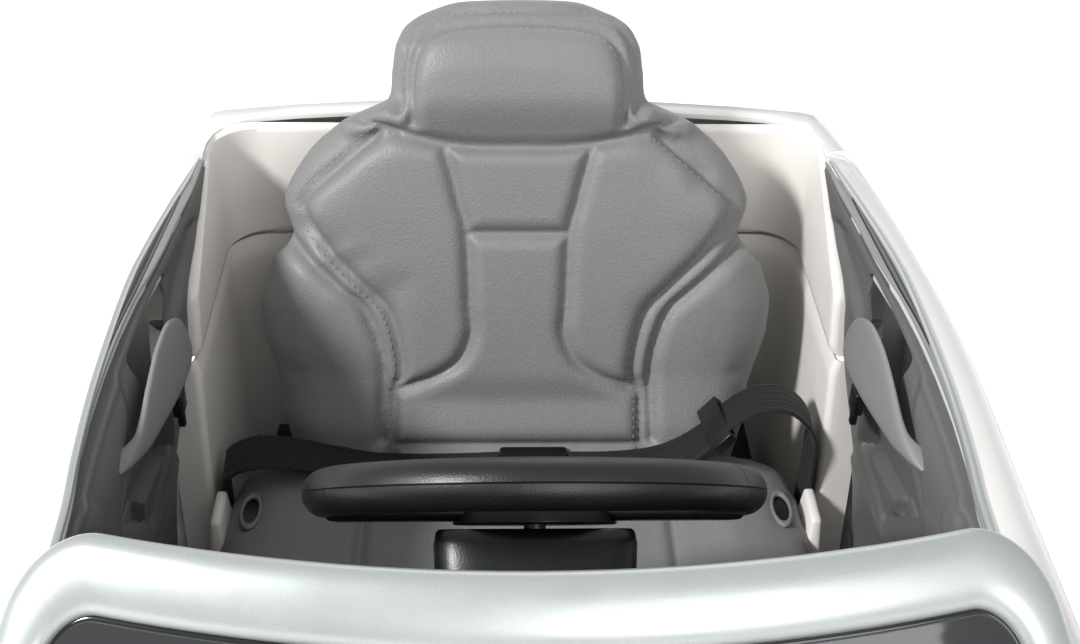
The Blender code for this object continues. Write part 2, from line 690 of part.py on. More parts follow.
def make_column():
    """Steel column with a crank and a pin at its foot."""
    foot = column_length() - CRANK_LIFT
    start = HUB_LOW - HUB_BORE + SEAT_GAP
    bar = rod_mesh("steering_column", column_point(start), column_point(foot + COLUMN_R), COLUMN_R, 16)
    column = piece("steering_column", bar, "steel")
    web = 0.004
    arm = box_mesh("crank_arm", (-COLUMN_R, -0.001, -web), (COLUMN_R, CRANK + COLUMN_R, web))
    turn = Matrix.Rotation(COLUMN_TILT - math.pi / 2, 4, "X")
    arm.transform(Matrix.Translation(column_point(foot)) @ turn)
    pin = rod_mesh("crank_pin", column_point(foot - 0.002, CRANK),
                   column_point(column_length() + 0.013, CRANK), CRANK_PIN_R, 12)
    join(column, guide("crank_arm", arm), guide("crank_pin", pin))
    return smooth(column)


def make_column_cover():
    """Tapered black block between the dashboard and the wheel's hub."""
    rings = []
    for down, half_wide, half_deep in ((COVER_TOP, 0.0540, 0.030), (COVER_TOP + 0.008, 0.0550, 0.032),
                                       (0.075, 0.0505, 0.034), (COVER_FOOT, 0.0480, 0.036)):
        ring = []
        for step in range(16):
            angle = 2 * math.pi * step / 16
            across = half_wide * math.copysign(abs(math.cos(angle)) ** 0.45, math.cos(angle))
            aside = half_deep * math.copysign(abs(math.sin(angle)) ** 0.45, math.sin(angle))
            ring.append(column_point(down, aside, across))
        rings.append(ring)
    cover = piece("column_cover", loft_mesh("column_cover", rings), "black_plastic")
    cut(cover, column_cutter("cover_bore", RUN_GAP))
    return smooth(cover)


DASH_FRONT_Y = CABIN_FRONT_Y + 0.001
DASH_OUTLINE = [(DASH_FRONT_Y, DASH_Z), (DASH_FRONT_Y, 0.408), (-0.205, 0.416), (-0.165, 0.413),
                (-0.142, 0.398), (-0.138, 0.372), (-0.150, 0.330), (-0.180, DASH_Z)]
DASH_HALF = 0.228
COVER_CLEAR_R = 0.066      # round the cover's corners
LEVER_X = -0.120
LEVER_Y = -0.172
LEVER_Z = 0.402
LEVER_PIN_R = 0.0025
LEVER_W = 0.008


def make_dashboard():
    """Dashboard across the cabin, with the column's tunnel and the lever's slot."""
    dash_mesh = prism_mesh("dashboard", DASH_OUTLINE, "X", -DASH_HALF, DASH_HALF)
    dash = piece("dashboard", dash_mesh, "black_plastic")
    cut(dash, column_cutter("dash_bore", 0.003))
    seat = guide("cover_seat", rod_mesh("cover_seat", column_point(0.05), column_point(COVER_FOOT + SEAT_GAP),
                                        COVER_CLEAR_R, 24))
    cut(dash, seat)
    slot = box_mesh("lever_slot", (LEVER_X - LEVER_W / 2 - 0.0006, LEVER_Y - 0.013, LEVER_Z - 0.014),
                    (LEVER_X + LEVER_W / 2 + 0.0006, LEVER_Y + 0.013, LEVER_Z + 0.040))
    cut(dash, guide("lever_slot", slot))
    reach = LEVER_W / 2 + 0.004
    join(dash, guide("lever_pin", rod_mesh("lever_pin", (LEVER_X - reach, LEVER_Y, LEVER_Z - 0.005),
                                           (LEVER_X + reach, LEVER_Y, LEVER_Z - 0.005), LEVER_PIN_R, 12)))
    for side in (1, -1):
        add_hinge_lug(dash, side, DASH_HALF - 0.002, LUG_Z, "high")
    return dash


def make_drive_lever():
    """Forward and reverse lever on the dashboard's pin."""
    half = LEVER_W / 2
    barrel = rod_mesh("drive_lever", (-half, 0, 0), (half, 0, 0), 0.006, 16)
    lever = piece("drive_lever", barrel, "black_plastic")
    blade = guide("lever_blade", box_mesh("lever_blade", (-half + 0.0005, -0.003, 0.003),
                                          (half - 0.0005, 0.003, 0.045)))
    knob = guide("lever_knob", rod_mesh("lever_knob", (0, 0, 0.040), (0, 0, 0.062), 0.008, 16, 0.011))
    bore = guide("lever_bore", rod_mesh("lever_bore", (-half - 0.01, 0, 0), (half + 0.01, 0, 0),
                                        LEVER_PIN_R + RUN_GAP, 12))
    for part in (lever, blade, knob, bore):
        part.location = (LEVER_X, LEVER_Y, LEVER_Z - 0.005)
    join(lever, blade, knob)
    cut(lever, bore)
    return lever


def make_tie_rod():
    """Flat bar that links the crank to both knuckles, with slots for the three pins."""
    y = FRONT_AXLE_Y + ARM
    crank_y = column_point(column_length(), CRANK).y
    low, high = TIE_Z - TIE_T / 2, TIE_Z + TIE_T / 2
    end = KINGPIN_X + 0.012
    bar = piece("tie_rod", box_mesh("tie_rod", (-end, y - 0.010, low), (end, y + 0.016, high)), "steel")
    tab = guide("tie_tab", box_mesh("tie_tab", (STEER_X - 0.018, crank_y - 0.027, low),
                                    (STEER_X + 0.018, y, high)))
    join(bar, tab)
    slot_half = CRANK_PIN_R + 0.0025
    slot = guide("crank_slot", box_mesh("crank_slot", (STEER_X - slot_half, crank_y - 0.0180, low - 0.01),
                                        (STEER_X + slot_half, crank_y + 0.0095, high + 0.01)))
    cut(bar, slot)
    for side in (1, -1):
        x = side * KINGPIN_X
        name = "arm_slot_" + side_name(side)
        cut(bar, guide(name, box_mesh(name, (x - 0.0045, y - 0.0075, low - 0.01),
                                      (x + 0.0045, y + 0.0045, high + 0.01))))
    return bar


def make_knuckles():
    """Kingpin, stub axle and steering arm in one steel piece on each side."""
    for side in (1, -1):
        name = "steering_knuckle_" + side_name(side)
        x = side * KINGPIN_X
        y = FRONT_AXLE_Y
        knuckle = piece(name, rod_mesh(name, (x, y, FLOOR_Z + 0.001), (x, y, 0.150), KINGPIN_R, 12), "steel")
        arm_high = TIE_Z - TIE_T / 2 - SEAT_GAP
        arm_low = arm_high - 0.007
        extras = [
            ("block", box_mesh(name + "_block", (x - 0.009, y - 0.009, 0.083),
                               (x + 0.009, y + 0.009, 0.134))),
            ("stub", rod_mesh(name + "_stub", (x, y, TYRE_R), (side * AXLE_END_X, y, TYRE_R), AXLE_R, 16)),
            ("arm", box_mesh(name + "_arm", (x - 0.006, y + 0.001, arm_low),
                             (x + 0.006, y + ARM + 0.006, arm_high))),
            ("pin", rod_mesh(name + "_pin", (x, y + ARM, arm_low + 0.001),
                             (x, y + ARM, TIE_Z + TIE_T / 2 + 0.004), 0.003, 12))]
        for label, mesh in extras:
            join(knuckle, guide(name + "_" + label, mesh))
        smooth(knuckle)


def make_axle_beam():
    """Front axle beam with an upper and a lower lug for each kingpin."""
    low = FLOOR_Z + FLOOR_T + SEAT_GAP
    y = FRONT_AXLE_Y
    deck = 0.140
    beam = piece("front_axle_beam", box_mesh("front_axle_beam", (-KINGPIN_X + 0.036, y - 0.012, low),
                                             (KINGPIN_X - 0.036, y + 0.012, low + 0.007)), "steel")
    for side in (1, -1):
        x = side * KINGPIN_X
        inner = side * (KINGPIN_X - 0.040)
        for label, z in (("low", low), ("high", deck)):
            ends = sorted((inner, x))
            name = "lug_%s_%s" % (label, side_name(side))
            plate = guide(name, box_mesh(name, (ends[0], y - 0.0118, z + 0.0002),
                                         (ends[1], y + 0.0118, z + 0.0068)))
            boss = guide(name + "_boss", rod_mesh(name + "_boss", (x, y, z), (x, y, z + 0.007), 0.0118, 12))
            join(beam, plate, boss)
        web = "web_" + side_name(side)
        ends = sorted((inner - side * 0.004, inner + side * 0.004))
        join(beam, guide(web, box_mesh(web, (ends[0], y - 0.0115, low + 0.002),
                                       (ends[1], y + 0.0115, deck + 0.005))))
        bore = "kingpin_bore_" + side_name(side)
        cut(beam, guide(bore, rod_mesh(bore, (x, y, 0.0), (x, y, 0.2), KINGPIN_R + RUN_GAP, 12)))
    return beam


def make_road_wheels():
    """Four tyres and four rims. The rim's bore is blind at its outer face."""
    mid = TYRE_W / 2
    bead = RIM_R + SEAT_GAP
    tyre_profile = [(bead, -mid + 0.006), (RIM_R + 0.012, -mid), (TYRE_R - 0.012, -mid),
                    (TYRE_R - 0.003, -mid + 0.007), (TYRE_R, -mid + 0.014), (TYRE_R, mid - 0.014),
                    (TYRE_R - 0.003, mid - 0.007), (TYRE_R - 0.012, mid), (RIM_R + 0.012, mid),
                    (bead, mid - 0.006)]
    bore = AXLE_R + RUN_GAP
    blind = AXLE_END_X + 0.001 - TYRE_INNER_X - mid
    rim_profile = [(bore, -mid - 0.004), (0.014, -mid - 0.004), (0.016, 0.006), (RIM_R - 0.008, 0.004),
                   (RIM_R - 0.006, -mid + 0.006), (RIM_R, -mid + 0.006), (RIM_R, mid - 0.006),
                   (RIM_R - 0.014, 0.013), (0.024, 0.018), (0.018, 0.0250), (0.0015, 0.0255), (0.0015, blind),
                   (bore, blind)]
    steps = 20
    for label, y in (("front", FRONT_AXLE_Y), ("rear", REAR_AXLE_Y)):
        for side in (1, -1):
            x = side * (TYRE_INNER_X + mid)
            end = label + "_" + side_name(side)
            tread = turned_mesh("tyre_" + end, tyre_profile, steps)
            tyre = piece("tyre_" + end, mirrored(tread, side), "tyre_rubber")
            dish = turned_mesh("rim_" + end, rim_profile, steps)
            rim = piece("rim_" + end, mirrored(dish, side), "silver_paint")
            for part in (tyre, rim):
                part.location = (x, y, TYRE_R)
            for index in range(5):
                angle = 2 * math.pi * (index + 0.5) / 5
                name = "window_%s_%d" % (end, index)
                rings = []
                for depth in (-0.012, 0.030):
                    rings.append([(depth, radius * math.sin(angle + turn), radius * math.cos(angle + turn))
                                  for radius, turn in ((0.031, -0.30), (0.031, 0.30), (0.052, 0.40),
                                                       (0.052, -0.40))])
                window = loft_mesh(name, rings)
                opening = guide(name, mirrored(window, side))
                opening.location = rim.location
                cut(rim, opening)
            smooth(tyre)
            smooth(rim)


def make_rear_axle():
    """Steel rod through both gearboxes and rear wheels."""
    y, z = REAR_AXLE_Y, TYRE_R
    bar = rod_mesh("rear_axle", (-AXLE_END_X, y, z), (AXLE_END_X, y, z), AXLE_R, 16)
    axle = piece("rear_axle", bar, "steel")
    smooth(axle)
    floor = FLOOR_Z + FLOOR_T + SEAT_GAP
    for side in (1, -1):
        name = "gearbox_" + side_name(side)
        inner, outer = 0.168, 0.212
        ends = sorted((side * inner, side * outer))
        gearbox = piece(name, box_mesh(name, (ends[0], y - 0.032, floor), (ends[1], y + 0.050, z + 0.042)),
                        "black_plastic")
        motor = rod_mesh(name + "_motor", (side * (inner - 0.052), y + 0.028, z + 0.012),
                         (side * (inner + 0.004), y + 0.028, z + 0.012), 0.018, 16)
        join(gearbox, guide(name + "_motor", motor))
        cut(gearbox, guide(name + "_bore", rod_mesh(name + "_bore", (-0.3, y, z), (0.3, y, z),
                                                    AXLE_R + RUN_GAP, 16)))


def make_battery():
    """Battery on the floor, between the ribs under the seat."""
    floor = FLOOR_Z + FLOOR_T + SEAT_GAP
    battery = piece("battery", box_mesh("battery", (-0.075, 0.080, floor), (0.075, 0.170, floor + 0.070)),
                    "battery_case")
    edge = battery.modifiers.new("Bevel", "BEVEL")
    edge.width = 0.003
    edge.segments = 1
    return battery


def screen_point(x, z, out=0.0):
    """A point of the windscreen's curved face, moved out along its slope."""
    y = SCREEN_TOP_Y - (SCREEN_TOP_Z - z) * SCREEN_RUN - SCREEN_BOW * (1 - (x / SCREEN_HALF) ** 2)
    length = math.hypot(1.0, SCREEN_RUN)
    return (x, y - out / length, z + out * SCREEN_RUN / length)


def screen_half(z):
    return SCREEN_HALF + (SCREEN_TOP_Z - z) * SCREEN_FLARE


def screen_outline(side_inset, top_inset, bottom_z, corner, steps=4, edge_steps=8):
    """Closed outline of (x, z) points: up the left side, over the top, down the right, back below."""
    top = SCREEN_TOP_Z - top_inset
    points = []
    for step in range(3):
        z = bottom_z + (top - corner - bottom_z) * step / 3
        points.append((screen_half(z) - side_inset, z))
    centre_x = screen_half(top) - side_inset - corner
    for step in range(steps + 1):
        angle = math.pi / 2 * step / steps
        points.append((centre_x + corner * math.cos(angle), top - corner + corner * math.sin(angle)))
    for step in range(1, edge_steps):
        points.append((centre_x * (1 - 2 * step / edge_steps), top))
    left = points[:3 + steps + 1]
    points += [(-x, z) for x, z in reversed(left)]
    low_half = screen_half(bottom_z) - side_inset
    for step in range(1, edge_steps):
        points.append((-low_half * (1 - 2 * step / edge_steps), bottom_z))
    return points


def make_windscreen():
    """Silver frame with a round section and the tinted glass inside it."""
    outer = screen_outline(0.0, 0.0, SCREEN_BASE_Z, 0.032)
    inner = screen_outline(PILLAR_BAND, FRAME_BAND, SCREEN_BASE_Z + 0.022, 0.014)
    rings = []
    for (xo, zo), (xi, zi) in zip(outer, inner):
        ring = []
        for step in range(10):
            angle = 2 * math.pi * step / 10
            along = math.copysign(abs(math.cos(angle)) ** 0.7, math.cos(angle))
            lift = math.copysign(abs(math.sin(angle)) ** 0.7, math.sin(angle)) * FRAME_T / 2
            mix = 0.5 + 0.5 * along
            ring.append(screen_point(xi + (xo - xi) * mix, zi + (zo - zi) * mix, lift))
        rings.append(ring)
    frame = piece("windscreen_frame", loft_mesh("windscreen_frame", rings, closed=True), "silver_paint")
    seat = bpy.data.objects["hull_seat"]
    cut(frame, seat)
    edge = screen_outline(PILLAR_BAND + GLASS_GAP, FRAME_BAND + GLASS_GAP, SCREEN_BASE_Z + 0.022 + GLASS_GAP,
                          0.014 - GLASS_GAP)
    glass = piece("windscreen_glass", glass_mesh(edge, 3), "tinted_glass")
    cut(glass, seat)
    smooth(frame)
    smooth(glass)


def glass_mesh(edge, rows):
    """A curved pane: rings of points that shrink towards the middle, on both faces."""
    middle = (0.0, (edge[0][1] + max(z for _, z in edge)) / 2)
    faces = []
    for lift in (-GLASS_T / 2, GLASS_T / 2):
        side = []
        for row in range(rows):
            share = 1 - row / rows
            side.append([screen_point(middle[0] + (x - middle[0]) * share,
                                      middle[1] + (z - middle[1]) * share, lift) for x, z in edge])
        faces.append(side)
    rings = list(reversed(faces[0])) + faces[1]
    return loft_mesh("windscreen_glass", rings)


# Inner face of the door panel under its top: (x, z)
PANEL_FACE = [(0.2440, 0.424), (0.2400, 0.404), (0.2385, 0.380), (0.2410, 0.345), (0.2500, 0.295),
              (0.2590, 0.245), (0.2630, 0.195), (0.2640, 0.163)]
PANEL_TOP_Z = BELT_Z - 0.008
PANEL_LEAN = 0.0035        # the face's upper part stands at least this far inside its top edge
PANEL_INNER_X = 0.2375     # and never further in than this
# Inner edge of the door's top, along the car
PANEL_TOP = [(DOOR_FRONT_Y, 0.2400), (-0.040, 0.2480), (0.010, 0.2535), (0.055, 0.2560), (0.100, 0.2563),
             (0.140, 0.2550), (0.172, 0.2526), (0.193, 0.2495), (0.228, 0.2455), (0.269, 0.2430),
             (0.314, 0.2395), (DOOR_REAR_HIGH_Y + 0.020, 0.2370)]
PANEL_STEPS = 14
# Pull handle, a leaf that tapers forwards: (y, lower edge, upper edge, distance of its face from the middle)
HANDLE_ROWS = [(0.205, 0.388, 0.399, 0.2365), (0.196, 0.386, 0.408, 0.2310), (0.180, 0.385, 0.421, 0.2288),
               (0.158, 0.3885, 0.431, 0.2280), (0.125, 0.395, 0.4345, 0.2280), (0.092, 0.402, 0.431, 0.2285),
               (0.062, 0.408, 0.424, 0.2300), (0.040, 0.411, 0.419, 0.2350)]
HANDLE_ENDS = (0.050, 0.200)   # between these the leaf stands free of the panel
HANDLE_T = 0.006           # thickness of the leaf
HANDLE_TILT = 0.20         # its upper edge leans this much towards the panel
GRIP_FRONT_Y = 0.100
GRIP_REAR_Y = 0.215
GRIP_LOW_Z = 0.402
GRIP_HIGH_Z = 0.4335
LATCH_Y = 0.158
LATCH_Z = 0.366
LATCH_R = 0.0035


def panel_face(y):
    """Inner face of the door panel at y, from its top edge down: (x, z)."""
    top = through(PANEL_TOP, y)
    face = [(top, PANEL_TOP_Z)]
    for index, (x, z) in enumerate(PANEL_FACE):
        if index < 2:
            x = max(min(x, top - PANEL_LEAN), PANEL_INNER_X)
        face.append((x, z))
    return face


def panel_places():
    """Places along the car where the panel has a section."""
    front, rear = DOOR_FRONT_Y + 0.012, DOOR_REAR_HIGH_Y + 0.020
    return [front + (rear - front) * step / PANEL_STEPS for step in range(PANEL_STEPS + 1)]


def make_door(side):
    """White shell, grey panel, trim strip, pull handle, release lever and hinge pin of one door."""
    label = side_name(side)
    inset = PANEL_GAP / 2
    outline = door_outline(inset)

    def sided(mesh):
        return mirrored(mesh, side)
    zone = guide("door_zone_" + label, sided(prism_mesh("door_zone", outline, "X", 0.20, 0.40)))
    shell = piece("door_shell_" + label, hull_mesh("door_shell_" + label, 0.0, SILL_BOTTOM), "white_plastic")
    keep(shell, zone)
    lip_z = BELT_Z - DOOR_LIP_H
    lip_rings = []
    for y in [DOOR_FRONT_Y - 0.05] + panel_places() + [DOOR_REAR_HIGH_Y + 0.05]:
        lip = through(PANEL_TOP, y) + DOOR_LIP
        lip_rings.append([(0.10, y, 0.0), (lip, y, 0.0), (lip, y, ABOVE_Z), (0.10, y, ABOVE_Z)])
    back = box_mesh("door_back", (0.11, -0.31, -0.01), (DOOR_INNER_X, 0.41, lip_z))
    cut(shell, guide("door_lip_" + label, sided(loft_mesh("door_lip", lip_rings, split=True))),
        guide("door_back_" + label, sided(back)))
    wall = DOOR_POCKET_WALL
    pocket_low, pocket_high = SILL_TOP + inset + wall, lip_z - wall
    pocket_rear = DOOR_REAR_MID_Y - inset - wall
    pocket_front = DOOR_FRONT_Y + inset + DOOR_POST
    pocket = [(pocket_front, pocket_low), (door_rear(pocket_low) - inset - wall, pocket_low),
              (pocket_rear, DOOR_SWEEP_Z), (pocket_rear, pocket_high), (pocket_front, pocket_high)]
    pocket_x = BODY_HALF - SIDE_TUCK - wall
    cut(shell, guide("door_pocket_" + label, sided(prism_mesh("door_pocket", pocket, "X", 0.12, pocket_x))))
    bore = rod_mesh("hinge_bore_" + label, (side * HINGE_X, pin_y(), 0.1),
                    (side * HINGE_X, pin_y(), HINGE_TOP_Z + SEAT_GAP), HINGE_PIN_R + RUN_GAP, 12)
    cut(shell, guide("hinge_bore_" + label, bore))
    reach = math.hypot(1, 1) * (HINGE_PIN_R + LUG_WALL) + 0.0008
    notch = box_mesh("hinge_notch", (0.10, -0.3, LUG_Z - LUG_T / 2 - LUG_CLEAR),
                     (HINGE_X + reach, pin_y() + reach, LUG_Z + LUG_T / 2 + LUG_CLEAR))
    notch = guide("hinge_notch_" + label, sided(notch))
    cut(shell, notch)
    smooth(shell)

    back_x = DOOR_INNER_X - SEAT_GAP
    rings = []
    for y in panel_places():
        lip = through(PANEL_TOP, y) + DOOR_LIP - SEAT_GAP
        face = panel_face(y) + [(back_x, PANEL_FACE[-1][1]), (back_x, lip_z - 0.001), (lip, lip_z - 0.001),
                                (lip, PANEL_TOP_Z)]
        rings.append([(x, y, z) for x, z in face])
    panel = piece("door_panel_" + label, sided(loft_mesh("door_panel", rings, split=True)), "grey_plastic")
    panel_zone = prism_mesh("panel_zone", door_outline(inset + 0.003), "X", 0.2, 0.4)
    keep(panel, guide("panel_zone_" + label, sided(panel_zone)))
    grip = box_mesh("grip_slot", (0.20, GRIP_FRONT_Y, GRIP_LOW_Z), (0.29, GRIP_REAR_Y, GRIP_HIGH_Z))
    latch_bore = rod_mesh("latch_bore", (0.20, LATCH_Y, LATCH_Z), (0.30, LATCH_Y, LATCH_Z),
                          LATCH_R + RUN_GAP, 12)
    cut(panel, notch, guide("grip_slot_" + label, sided(grip)),
        guide("latch_bore_" + label, sided(latch_bore)))
    smooth(panel)

    make_door_trim(side, lip_z)
    make_handle(side)
    make_latch(side)
    pin = rod_mesh("hinge_pin_" + label, (side * HINGE_X, pin_y(), SILL_TOP - WALL_DROP - LUG_T),
                   (side * HINGE_X, pin_y(), HINGE_TOP_Z), HINGE_PIN_R, 12)
    smooth(piece("hinge_pin_" + label, pin, "steel"))
    make_mirror(side)


def make_door_trim(side, lip_z):
    """Thin strip on the door's top edge."""
    label = side_name(side)
    rings = []
    front, rear, steps = DOOR_FRONT_Y + 0.006, DOOR_REAR_HIGH_Y - 0.010, 28
    for step in range(steps + 1):
        y = front + (rear - front) * step / steps
        top = through(BELT_HEIGHT, y)
        x = through(BELT_WIDTH, y)
        rings.append([(x - 0.0055, y, top - 0.006), (x + 0.0005, y, top + 0.0012),
                      (x + 0.0005, y, top + 0.004), (x - 0.0065, y, top + 0.0005)])
    trim = piece("door_trim_" + label, mirrored(loft_mesh("door_trim", rings), side), "silver_paint")
    cut(trim, bpy.data.objects["hull_seat"])
    return trim


def make_handle(side):
    """Leaf-shaped pull handle whose two ends stand on the door panel."""
    label = side_name(side)
    name = "pull_handle_" + label
    rings = []
    for y, low, high, face in HANDLE_ROWS:
        middle, half = (low + high) / 2, (high - low) / 2
        back = face + HANDLE_T
        if not HANDLE_ENDS[0] <= y <= HANDLE_ENDS[1]:
            back = PANEL_FACE[-1][0]
        ring = []
        for step in range(12):
            angle = 2 * math.pi * step / 12
            across = math.copysign(abs(math.cos(angle)) ** 0.6, math.cos(angle))
            up = half * math.sin(angle)
            ring.append(((face + back) / 2 - across * (back - face) / 2 + HANDLE_TILT * up, y, middle + up))
        rings.append(ring)
    handle = piece(name, mirrored(loft_mesh(name, rings), side), "grey_plastic")
    rings = []
    for y in panel_places():
        seat = [(x - SEAT_GAP, z) for x, z in panel_face(y)]
        seat += [(0.32, PANEL_FACE[-1][1]), (0.32, PANEL_TOP_Z)]
        rings.append([(x, y, z) for x, z in seat])
    cut(handle, guide("handle_seat_" + label, mirrored(loft_mesh("handle_seat", rings, split=True), side)))
    return smooth(handle)


def panel_x(z):
    """Inner face of the door panel at height z."""
    for (x0, z0), (x1, z1) in zip(PANEL_FACE, PANEL_FACE[1:]):
        if z1 <= z <= z0:
            return x0 + (x1 - x0) * (z0 - z) / (z0 - z1)
    return PANEL_FACE[-1][0]


def make_latch(side):
    """Black release lever with a stub that turns in the panel."""
    label = side_name(side)
    name = "release_lever_" + label
    face = min(panel_x(LATCH_Z + dz) for dz in (-0.012, 0.0, 0.012)) - 0.0006
    lever = box_mesh(name, (face - 0.007, LATCH_Y - 0.009, LATCH_Z - 0.008),
                     (face, LATCH_Y + 0.007, LATCH_Z + 0.011))
    made = piece(name, mirrored(lever, side), "black_plastic")
    stub = rod_mesh(name + "_stub", (face - 0.003, LATCH_Y, LATCH_Z),
                    (DOOR_INNER_X - 0.002, LATCH_Y, LATCH_Z), LATCH_R, 12)
    tail = box_mesh(name + "_tail", (face - 0.006, LATCH_Y - 0.004, LATCH_Z - 0.020),
                    (face - 0.0012, LATCH_Y + 0.002, LATCH_Z))
    join(made, guide(name + "_stub", mirrored(stub, side)), guide(name + "_tail", mirrored(tail, side)))
    return made


# The mirror's housing from its front tip back: (share of its half length, half width, half height)
MIRROR_STATIONS = ((-1.0, 0.016, 0.010), (-0.7, 0.028, 0.019), (0.1, 0.034, 0.024), (1.0, 0.033, 0.023))


def make_mirror(side):
    """Door mirror on a short foot."""
    label = side_name(side)
    name = "mirror_" + label
    centre = Vector((0.318, -0.172, 0.470))
    rings = []
    for share, wide, high in MIRROR_STATIONS:
        ring = []
        for step in range(12):
            angle = 2 * math.pi * step / 12
            across = wide * math.copysign(abs(math.cos(angle)) ** 0.6, math.cos(angle))
            up = high * math.copysign(abs(math.sin(angle)) ** 0.6, math.sin(angle))
            ring.append((centre.x + across, centre.y + 0.018 * share, centre.z + up))
        rings.append(ring)
    mirror = piece(name, mirrored(loft_mesh(name, rings), side), "white_plastic")
    foot = rod_mesh(name + "_foot", (0.272, -0.170, 0.405), (0.300, -0.170, 0.462), 0.008, 10)
    join(mirror, guide(name + "_foot", mirrored(foot, side)))
    cut(mirror, bpy.data.objects["hull_seat"])
    return smooth(mirror)


LINER_X = [(0.442, 0.2405), (0.434, 0.2405), (0.411, 0.2400), (0.407, 0.2355), (0.385, 0.2358),
           (0.338, 0.2360), (0.333, 0.2375), (0.250, 0.2345), (0.160, 0.2310),
           (FLOOR_Z + FLOOR_T + SEAT_GAP, 0.2290)]
LINER_REAR_Y = 0.418
LINER_CORNER = 0.035
LINER_OUTER_X = 0.282      # the front flange runs out to the shell
LINER_AXLE_R = 0.010       # hole for the rear axle


def make_liners():
    """White inner walls beside and behind the seat, one on each side, with a step and a seam."""
    inside = guide("hull_inside", hull_mesh("hull_inside", -WALL - SEAT_GAP, SILL_BOTTOM - 0.02))
    for side in (1, -1):
        name = "seat_liner_" + side_name(side)

        def build(work):
            rows = []
            for z, x in LINER_X:
                front = min(door_rear(z), DOOR_REAR_HIGH_Y) + PANEL_GAP
                corner = LINER_CORNER
                path = [(LINER_OUTER_X, front + 0.001), (x + 0.004, front), (x, front + 0.004),
                        (x, (front + 0.004 + LINER_REAR_Y - corner) / 2)]
                for step in range(4):
                    angle = math.pi / 2 * step / 3
                    path.append((x - corner + corner * math.cos(angle),
                                 LINER_REAR_Y - corner + corner * math.sin(angle)))
                path += [(0.10, LINER_REAR_Y), (0.003, LINER_REAR_Y)]
                rows.append([work.verts.new((px, py, z)) for px, py in path])
            for one, two in zip(rows, rows[1:]):
                for index in range(len(one) - 1):
                    work.faces.new((one[index], one[index + 1], two[index + 1], two[index]))
        liner = piece(name, mirrored(mesh_from(name, build), side), "white_plastic")
        wall = liner.modifiers.new("Solidify", "SOLIDIFY")
        wall.thickness = 0.003
        wall.offset = -1.0
        keep(liner, inside)
        door = mirrored(prism_mesh(name + "_door", door_outline(-SEAT_GAP), "X", 0.20, 0.40), side)
        axle = rod_mesh(name + "_axle", (side * 0.20, REAR_AXLE_Y, TYRE_R),
                        (side * 0.26, REAR_AXLE_Y, TYRE_R), LINER_AXLE_R, 16)
        cut(liner, guide(name + "_door", door), guide(name + "_axle", axle))
        smooth(liner, 30)


def smooth_step(value, low, high):
    """0 below low, 1 above high, smooth between."""
    t = min(max((value - low) / (high - low), 0.0), 1.0)
    return t * t * (3 - 2 * t)


# The seat back, in its own plane: v up along the back, half width u at each height
BACK_FOOT = -0.045         # lower end of the back
BACK_OUTLINE = [(BACK_FOOT, 0.172), (-0.012, 0.181), (0.005, 0.188), (0.045, 0.193), (0.087, 0.206),
                (0.118, 0.208), (0.150, 0.197), (0.172, 0.178), (0.188, 0.184), (0.207, 0.184),
                (0.238, 0.165), (0.256, 0.146), (0.268, 0.128), (0.278, 0.101), (0.300, 0.099),
                (0.325, 0.093), (0.338, 0.083), (0.346, 0.066), (0.350, 0.050)]
WING_LINE = [(0.050, 0.080), (0.062, 0.086), (0.085, 0.091), (0.115, 0.100), (0.133, 0.116), (0.186, 0.160),
             (0.203, 0.162), (0.230, 0.130), (0.254, 0.101)]
BACK_ROWS = (BACK_FOOT, -0.012, 0.020, 0.045, 0.062, 0.087, 0.118, 0.150, 0.165, 0.178, 0.192, 0.207, 0.225,
             0.240, 0.250, 0.262, 0.278, 0.300, 0.320, 0.334, 0.343, 0.350)
BACK_COLUMNS = 16
FOOT_OUT = 0.010           # how far the foot stands in front of the back's plane


def back_height(u, v):
    """How far the face of the seat back stands out at (u, v)."""
    half = through(BACK_OUTLINE, v)
    share = min(abs(u) / half, 1.0)
    edge = -0.034 * (1 - math.sqrt(max(1 - share ** 5, 0.0)))
    wing = through(WING_LINE, v) if 0.050 <= v <= 0.254 else 0.0
    pad = 0.008 * smooth_step(wing - abs(u), -0.004, 0.008) if wing else 0.0
    lower = FOOT_OUT * smooth_step(0.062 - v, 0.0, 0.045)
    head = 0.020 * smooth_step(v, 0.250, 0.272)
    crown = -0.028 * smooth_step(v, 0.318, 0.352)
    neck = -0.004 * (1 - min(abs(v - 0.250) / 0.008, 1.0))
    shell = 0.006 * smooth_step(abs(u), 0.10, 0.18) * smooth_step(0.24 - v, 0.0, 0.05)
    return edge + pad + lower + head + crown + neck + shell


def back_point(u, v, out):
    """A point on the seat back's plane, moved towards the driver by out."""
    lean = SEAT_LEAN
    return (u, SEAT_Y + v * math.sin(lean) - out * math.cos(lean),
            SEAT_Z + v * math.cos(lean) + out * math.sin(lean))


def make_seat_back():
    """Seat back with its headrest, crowned, with raised wings and a plain rear."""
    rings = []
    for v in BACK_ROWS:
        half = through(BACK_OUTLINE, v)
        front = []
        rear = []
        for column in range(BACK_COLUMNS + 1):
            share = math.sin(math.pi / 2 * (2 * column / BACK_COLUMNS - 1))
            u = half * share
            front.append(back_point(u, v, back_height(u, v)))
            depth = BACK_T - 0.012 * abs(share) ** 3 - 0.015 * smooth_step(v, 0.325, 0.352)
            if 0 < column < BACK_COLUMNS:
                rear.append(back_point(u, v, -depth))
        rings.append(front + list(reversed(rear)))
    seat = piece("seat_back", loft_mesh("seat_back", rings), "seat_leather")
    return smooth(seat, 50)


BASE_ROWS = 12
BASE_COLUMNS = 20


